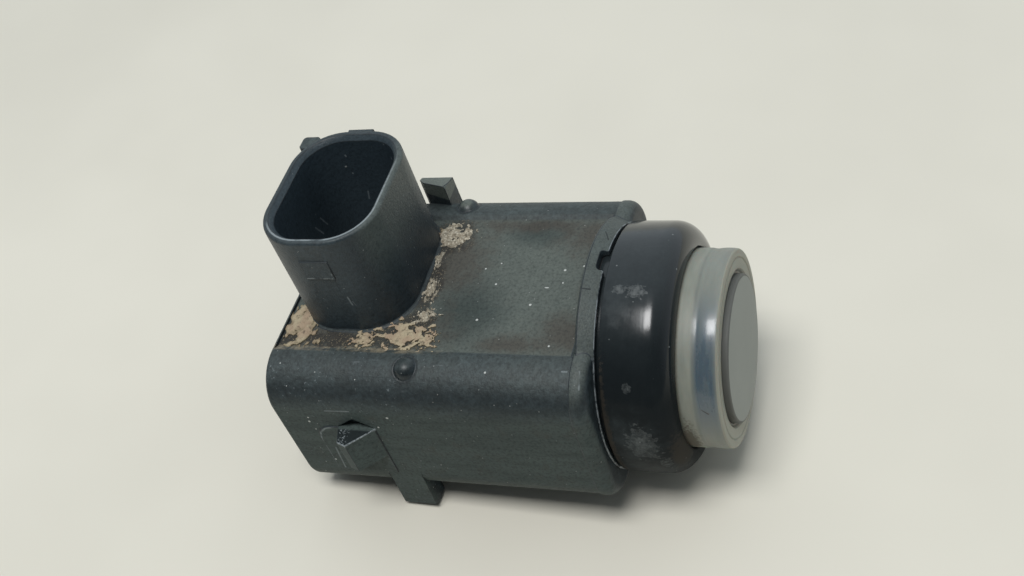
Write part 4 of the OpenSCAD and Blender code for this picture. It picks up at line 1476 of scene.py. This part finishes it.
@dataclass
class MembraneHead:
    """The membrane's pot and the soft ring that it sits in."""

    soft_front: float
    soft_rear: float
    flange_radius: float
    pot_radius: float
    pot_front: float
    pot_rear: float
    soft_radius: float = 10.4
    flange_front: float = 3.0
    lip_radius: float = 6.55
    gap: float = 0.05
    front_round: float = 0.26
    waist: float = 0.1
    waist_steps: tuple[Span, ...] = ((7.0, 0.0), (8.1, 0.0), (8.35, 0.25), (8.6, 0.75))
    band_x: float = 9.95
    band_round: float = 5.6
    front_line: tuple[Span, ...] = ((0.0, 9.55), (0.12, 9.42), (0.0, 9.28))
    groove: tuple[Span, ...] = ((0.03, 0.5), (0.3, 0.2), (0.3, 0.0))
    pot_wall: float = 1.2
    plate: float = 0.65
    pot_edge: float = 0.22
    soft_finish: Silicone = field(default_factory=Silicone)
    pot_finish: MembraneCoat = field(default_factory=MembraneCoat)

    @classmethod
    def measured(cls) -> "MembraneHead":
        """Takes the head's sizes from the CAD nodes.

        Returns:
            A head as large as they are.
        """
        soft_low, soft_high = Bench.box("decoupling_ring")
        pot_low, pot_high = Bench.box("membrane_pot")
        return cls(soft_front=soft_high.x, soft_rear=soft_low.x, flange_radius=soft_high.y,
                   pot_radius=pot_high.y, pot_front=pot_high.x, pot_rear=pot_low.x)

    def soft_outline(self) -> Outline:
        """Draws the soft ring's outline, with a shallow waist, a line in front and a groove round the pot.

        Returns:
            Its points, from the rear end of the lip round the outside.
        """
        front, outer, nose = self.soft_front, self.soft_radius, self.front_round
        bore = self.pot_radius + self.gap
        band = Bench.arc(self.band_x, outer - self.band_round, self.band_round, 101.0, 82.0, 12)
        return [
            (self.soft_rear, self.lip_radius), (self.soft_rear, self.flange_radius),
            (self.flange_front, self.flange_radius), (self.flange_front, outer),
            *((x, outer - share * self.waist) for x, share in self.waist_steps), *band,
            *Bench.arc(front - nose, band[-1][1] - nose, nose, 80.0, 0.0, 7),
            *((front - depth, radius) for depth, radius in self.front_line),
            *((front - depth, bore + rise) for depth, rise in self.groove),
            (self.pot_rear, bore), (self.pot_rear, self.lip_radius),
        ]

    def pot_outline(self) -> Outline:
        """Draws the pot's outline.

        Returns:
            Its points, from the middle of its face round to its inside.
        """
        inner, back = self.pot_radius - self.pot_wall, self.pot_front - self.plate
        e = self.pot_edge
        return [
            (self.pot_front, 0.0), (self.pot_front, 0.5 * self.pot_radius),
            *Bench.arc(self.pot_front - e, self.pot_radius - e, e, 0.0, 90.0, 5),
            (self.pot_rear, self.pot_radius), (self.pot_rear, inner), (back, inner), (back, 0.0),
        ]

    def build(self) -> None:
        """Builds and dresses the soft ring and the pot."""
        ring = Bench.turned("soft_ring", self.soft_outline())
        ring.data.materials.append(self.soft_finish.dress())
        settle(ring, ["decoupling_ring"])
        pot = Bench.turned("membrane_skin", self.pot_outline())
        pot.data.materials.append(self.pot_finish.dress())
        settle(pot, ["membrane_pot"])


@dataclass
class Inside:
    """The pieces inside the housing and the terminals, which keep their CAD shapes, listed by finish."""

    nodes: dict[str, bpy.types.Object]
    finishes: tuple[tuple[Union[PlainFinish, BoardLacquer, WoundCopper], tuple[str, ...]], ...] = (
        (PlainFinish("stamped_brass", "#a98a4a", "#c9ad6c", 0.32, 1.0, drawn=(0.2, 3.0, 3.0)),
         ("near_contact", "far_contact")),
        (PlainFinish("tinned_metal", "#9fa3a6", "#c8cacb", 0.35, 1.0, drawn=(3.0, 3.0, 0.3)),
         ("chip_leads", "supply_pin", "signal_pin", "ground_pin")),
        (PlainFinish("moulded_epoxy", "#191b1d", "#2b2e31", 0.5, grain=6.0),
         ("control_chip", "protection_diode")),
        (PlainFinish("base_moulding", "#24211f", "#38332e", 0.55, grain=4.0),
         ("transformer_base", "capacitor_base")),
        (PlainFinish("gasket_rubber", "#17181a", "#26282a", 0.75, grain=5.0), ("collar_gasket",)),
        (PlainFinish("piezo_ceramic", "#b49e70", "#cdb98c", 0.5, grain=4.0), ("piezo_disc",)),
        (PlainFinish("damping_foam", "#3a3e42", "#585d62", 0.9, grain=3.0, depth=0.15), ("damping_pad",)),
        (PlainFinish("red_jacket", "#8e241d", "#b3372d", 0.4), ("live_lead",)),
        (PlainFinish("dark_jacket", "#25282b", "#3b3f43", 0.4), ("ground_lead",)),
        (PlainFinish("carrier_moulding", "#2c312d", "#434a44", 0.55, grain=4.0), ("contact_carrier",)),
        (BoardLacquer(), ("circuit_board",)),
        (PlainFinish("ferrite", "#3b3b3d", "#545457", 0.6, grain=5.0, depth=0.02), ("transformer_core",)),
        (WoundCopper(), ("transformer_winding",)),
        (PlainFinish("drawn_can", "#a5a9ac", "#c4c7c9", 0.3, 1.0, drawn=(2.0, 2.0, 0.2)),
         ("storage_capacitor",)),
        (PlainFinish("cap_ceramic", "#8a6f4c", "#a98d66", 0.5, grain=4.0), ("chip_capacitors",)),
        (PlainFinish("resistor_coat", "#1f2022", "#323437", 0.4, grain=4.0), ("chip_resistors",)))

    def build(self) -> None:
        """Dresses each CAD node that stays."""
        for finish, names in self.finishes:
            material = finish.dress()
            for name in names:
                node = self.nodes[name]
                node.data.materials.clear()
                node.data.materials.append(material)
                LOG.info("%s: %s", name, material.name)


@dataclass
class Setting:
    """The floor, lamp, sky and camera."""

    place: Vector = Vector((38.159, -84.577, 102.794))
    aim: Vector = Vector((-16.404, 7.897, 0.0))
    roll: float = 21.345
    lens: float = 45.424
    film_width: float = 36.0
    nearest: float = 1.0
    touch: tuple[Vector, Vector, Vector] = (
        Vector((-2.0, 0.0, -13.75)), Vector((-22.5, -12.1, -12.1)), Vector((-36.2, 10.0, -9.7)))
    floor_size: float = 520.0
    lamp_from: Vector = Vector((0.02, -0.28, 0.95))
    lamp_away: float = 620.0
    lamp_size: Span = (300.0, 180.0)
    lamp_power: float = 2.7
    sky: Span = (0.09, 0.7)
    sky_rise: Span = (-0.7, 0.8)
    sky_color: Color = (0.9, 0.99, 1.06)
    backdrop: Color = (0.80, 0.79, 0.76)

    def build(self) -> None:
        """Builds the floor, the lamp, the sky and the camera."""
        self.floor()
        self.lamp()
        self.world()
        self.camera()
        LOG.info("setting: floor, lamp, sky and camera")

    def floor(self) -> None:
        """Lays the floor under the three places that the sensor rests on."""
        a, b, c = self.touch
        normal = (b - a).cross(c - a).normalized()
        normal = normal if normal.z > 0.0 else -normal
        middle = (a + b + c) / 3.0
        turn = normal.to_track_quat("Z", "Y").to_euler()
        bpy.ops.object.select_all(action="DESELECT")
        bpy.ops.mesh.primitive_plane_add(size=self.floor_size * MM, location=middle * MM, rotation=turn)
        floor = bpy.context.object
        floor.name = "floor"
        bpy.ops.object.transform_apply(location=True, rotation=True, scale=True)
        floor.data.materials.append(PaleFloor().dress())

    def lamp(self) -> None:
        """Hangs one soft lamp over the sensor."""
        way = self.lamp_from.normalized()
        bpy.ops.object.light_add(type="AREA", location=way * self.lamp_away * MM,
                                 rotation=way.to_track_quat("Z", "Y").to_euler())
        lamp = bpy.context.object
        lamp.name = "soft_lamp"
        lamp.data.shape = "RECTANGLE"
        lamp.data.size, lamp.data.size_y = (s * MM for s in self.lamp_size)
        lamp.data.energy = self.lamp_power

    def world(self) -> None:
        """Lights the rest from a plain sky, brighter behind the sensor, before a pale backdrop."""
        world = bpy.data.worlds.new("plain_sky")
        bpy.context.scene.world = world
        world.use_nodes = True
        wiring = Wiring(world.node_tree)
        way = wiring.node("ShaderNodeTexCoord").outputs["Generated"]
        _, far, _ = wiring.split(way)
        glow = far.step(*self.sky_rise) * (self.sky[1] - self.sky[0]) + self.sky[0]
        lit, seen = (wiring.node("ShaderNodeBackground", None, {"Color": color, "Strength": strength})
                     for color, strength in ((self.sky_color, glow), (self.backdrop, 1.0)))
        rays = wiring.node("ShaderNodeLightPath").outputs["Is Camera Ray"]
        mixed = wiring.node("ShaderNodeMixShader", None,
                            {"Fac": rays, "Shader": lit.outputs["Background"],
                             "Shader_001": seen.outputs["Background"]})
        wiring.node("ShaderNodeOutputWorld", None, {"Surface": mixed.outputs["Shader"]})

    def camera(self) -> None:
        """Sets the camera at the photograph's viewing angle."""
        data = bpy.data.cameras.new("camera")
        data.sensor_width = self.film_width
        data.lens = self.lens
        data.clip_start = self.nearest * MM
        camera = bpy.data.objects.new("camera", data)
        bpy.context.scene.collection.objects.link(camera)
        look = (self.aim - self.place).to_track_quat("-Z", "Y").to_matrix().to_4x4()
        roll = Matrix.Rotation(math.radians(-self.roll), 4, "Z")
        camera.matrix_world = Matrix.Translation(self.place * MM) @ look @ roll
        bpy.context.scene.camera = camera


def main() -> None:
    """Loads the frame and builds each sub-assembly."""
    logging.basicConfig(level=logging.INFO, format="%(name)s: %(message)s")
    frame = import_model()
    bpy.context.scene.view_settings.view_transform = "Standard"
    nodes = frame["nodes"]
    Setting().build()
    HousingShell(nodes).build()
    DriedMud().build()
    Collar.measured().build()
    MembraneHead.measured().build()
    Inside(nodes).build()


if __name__ == "__main__":
    main()
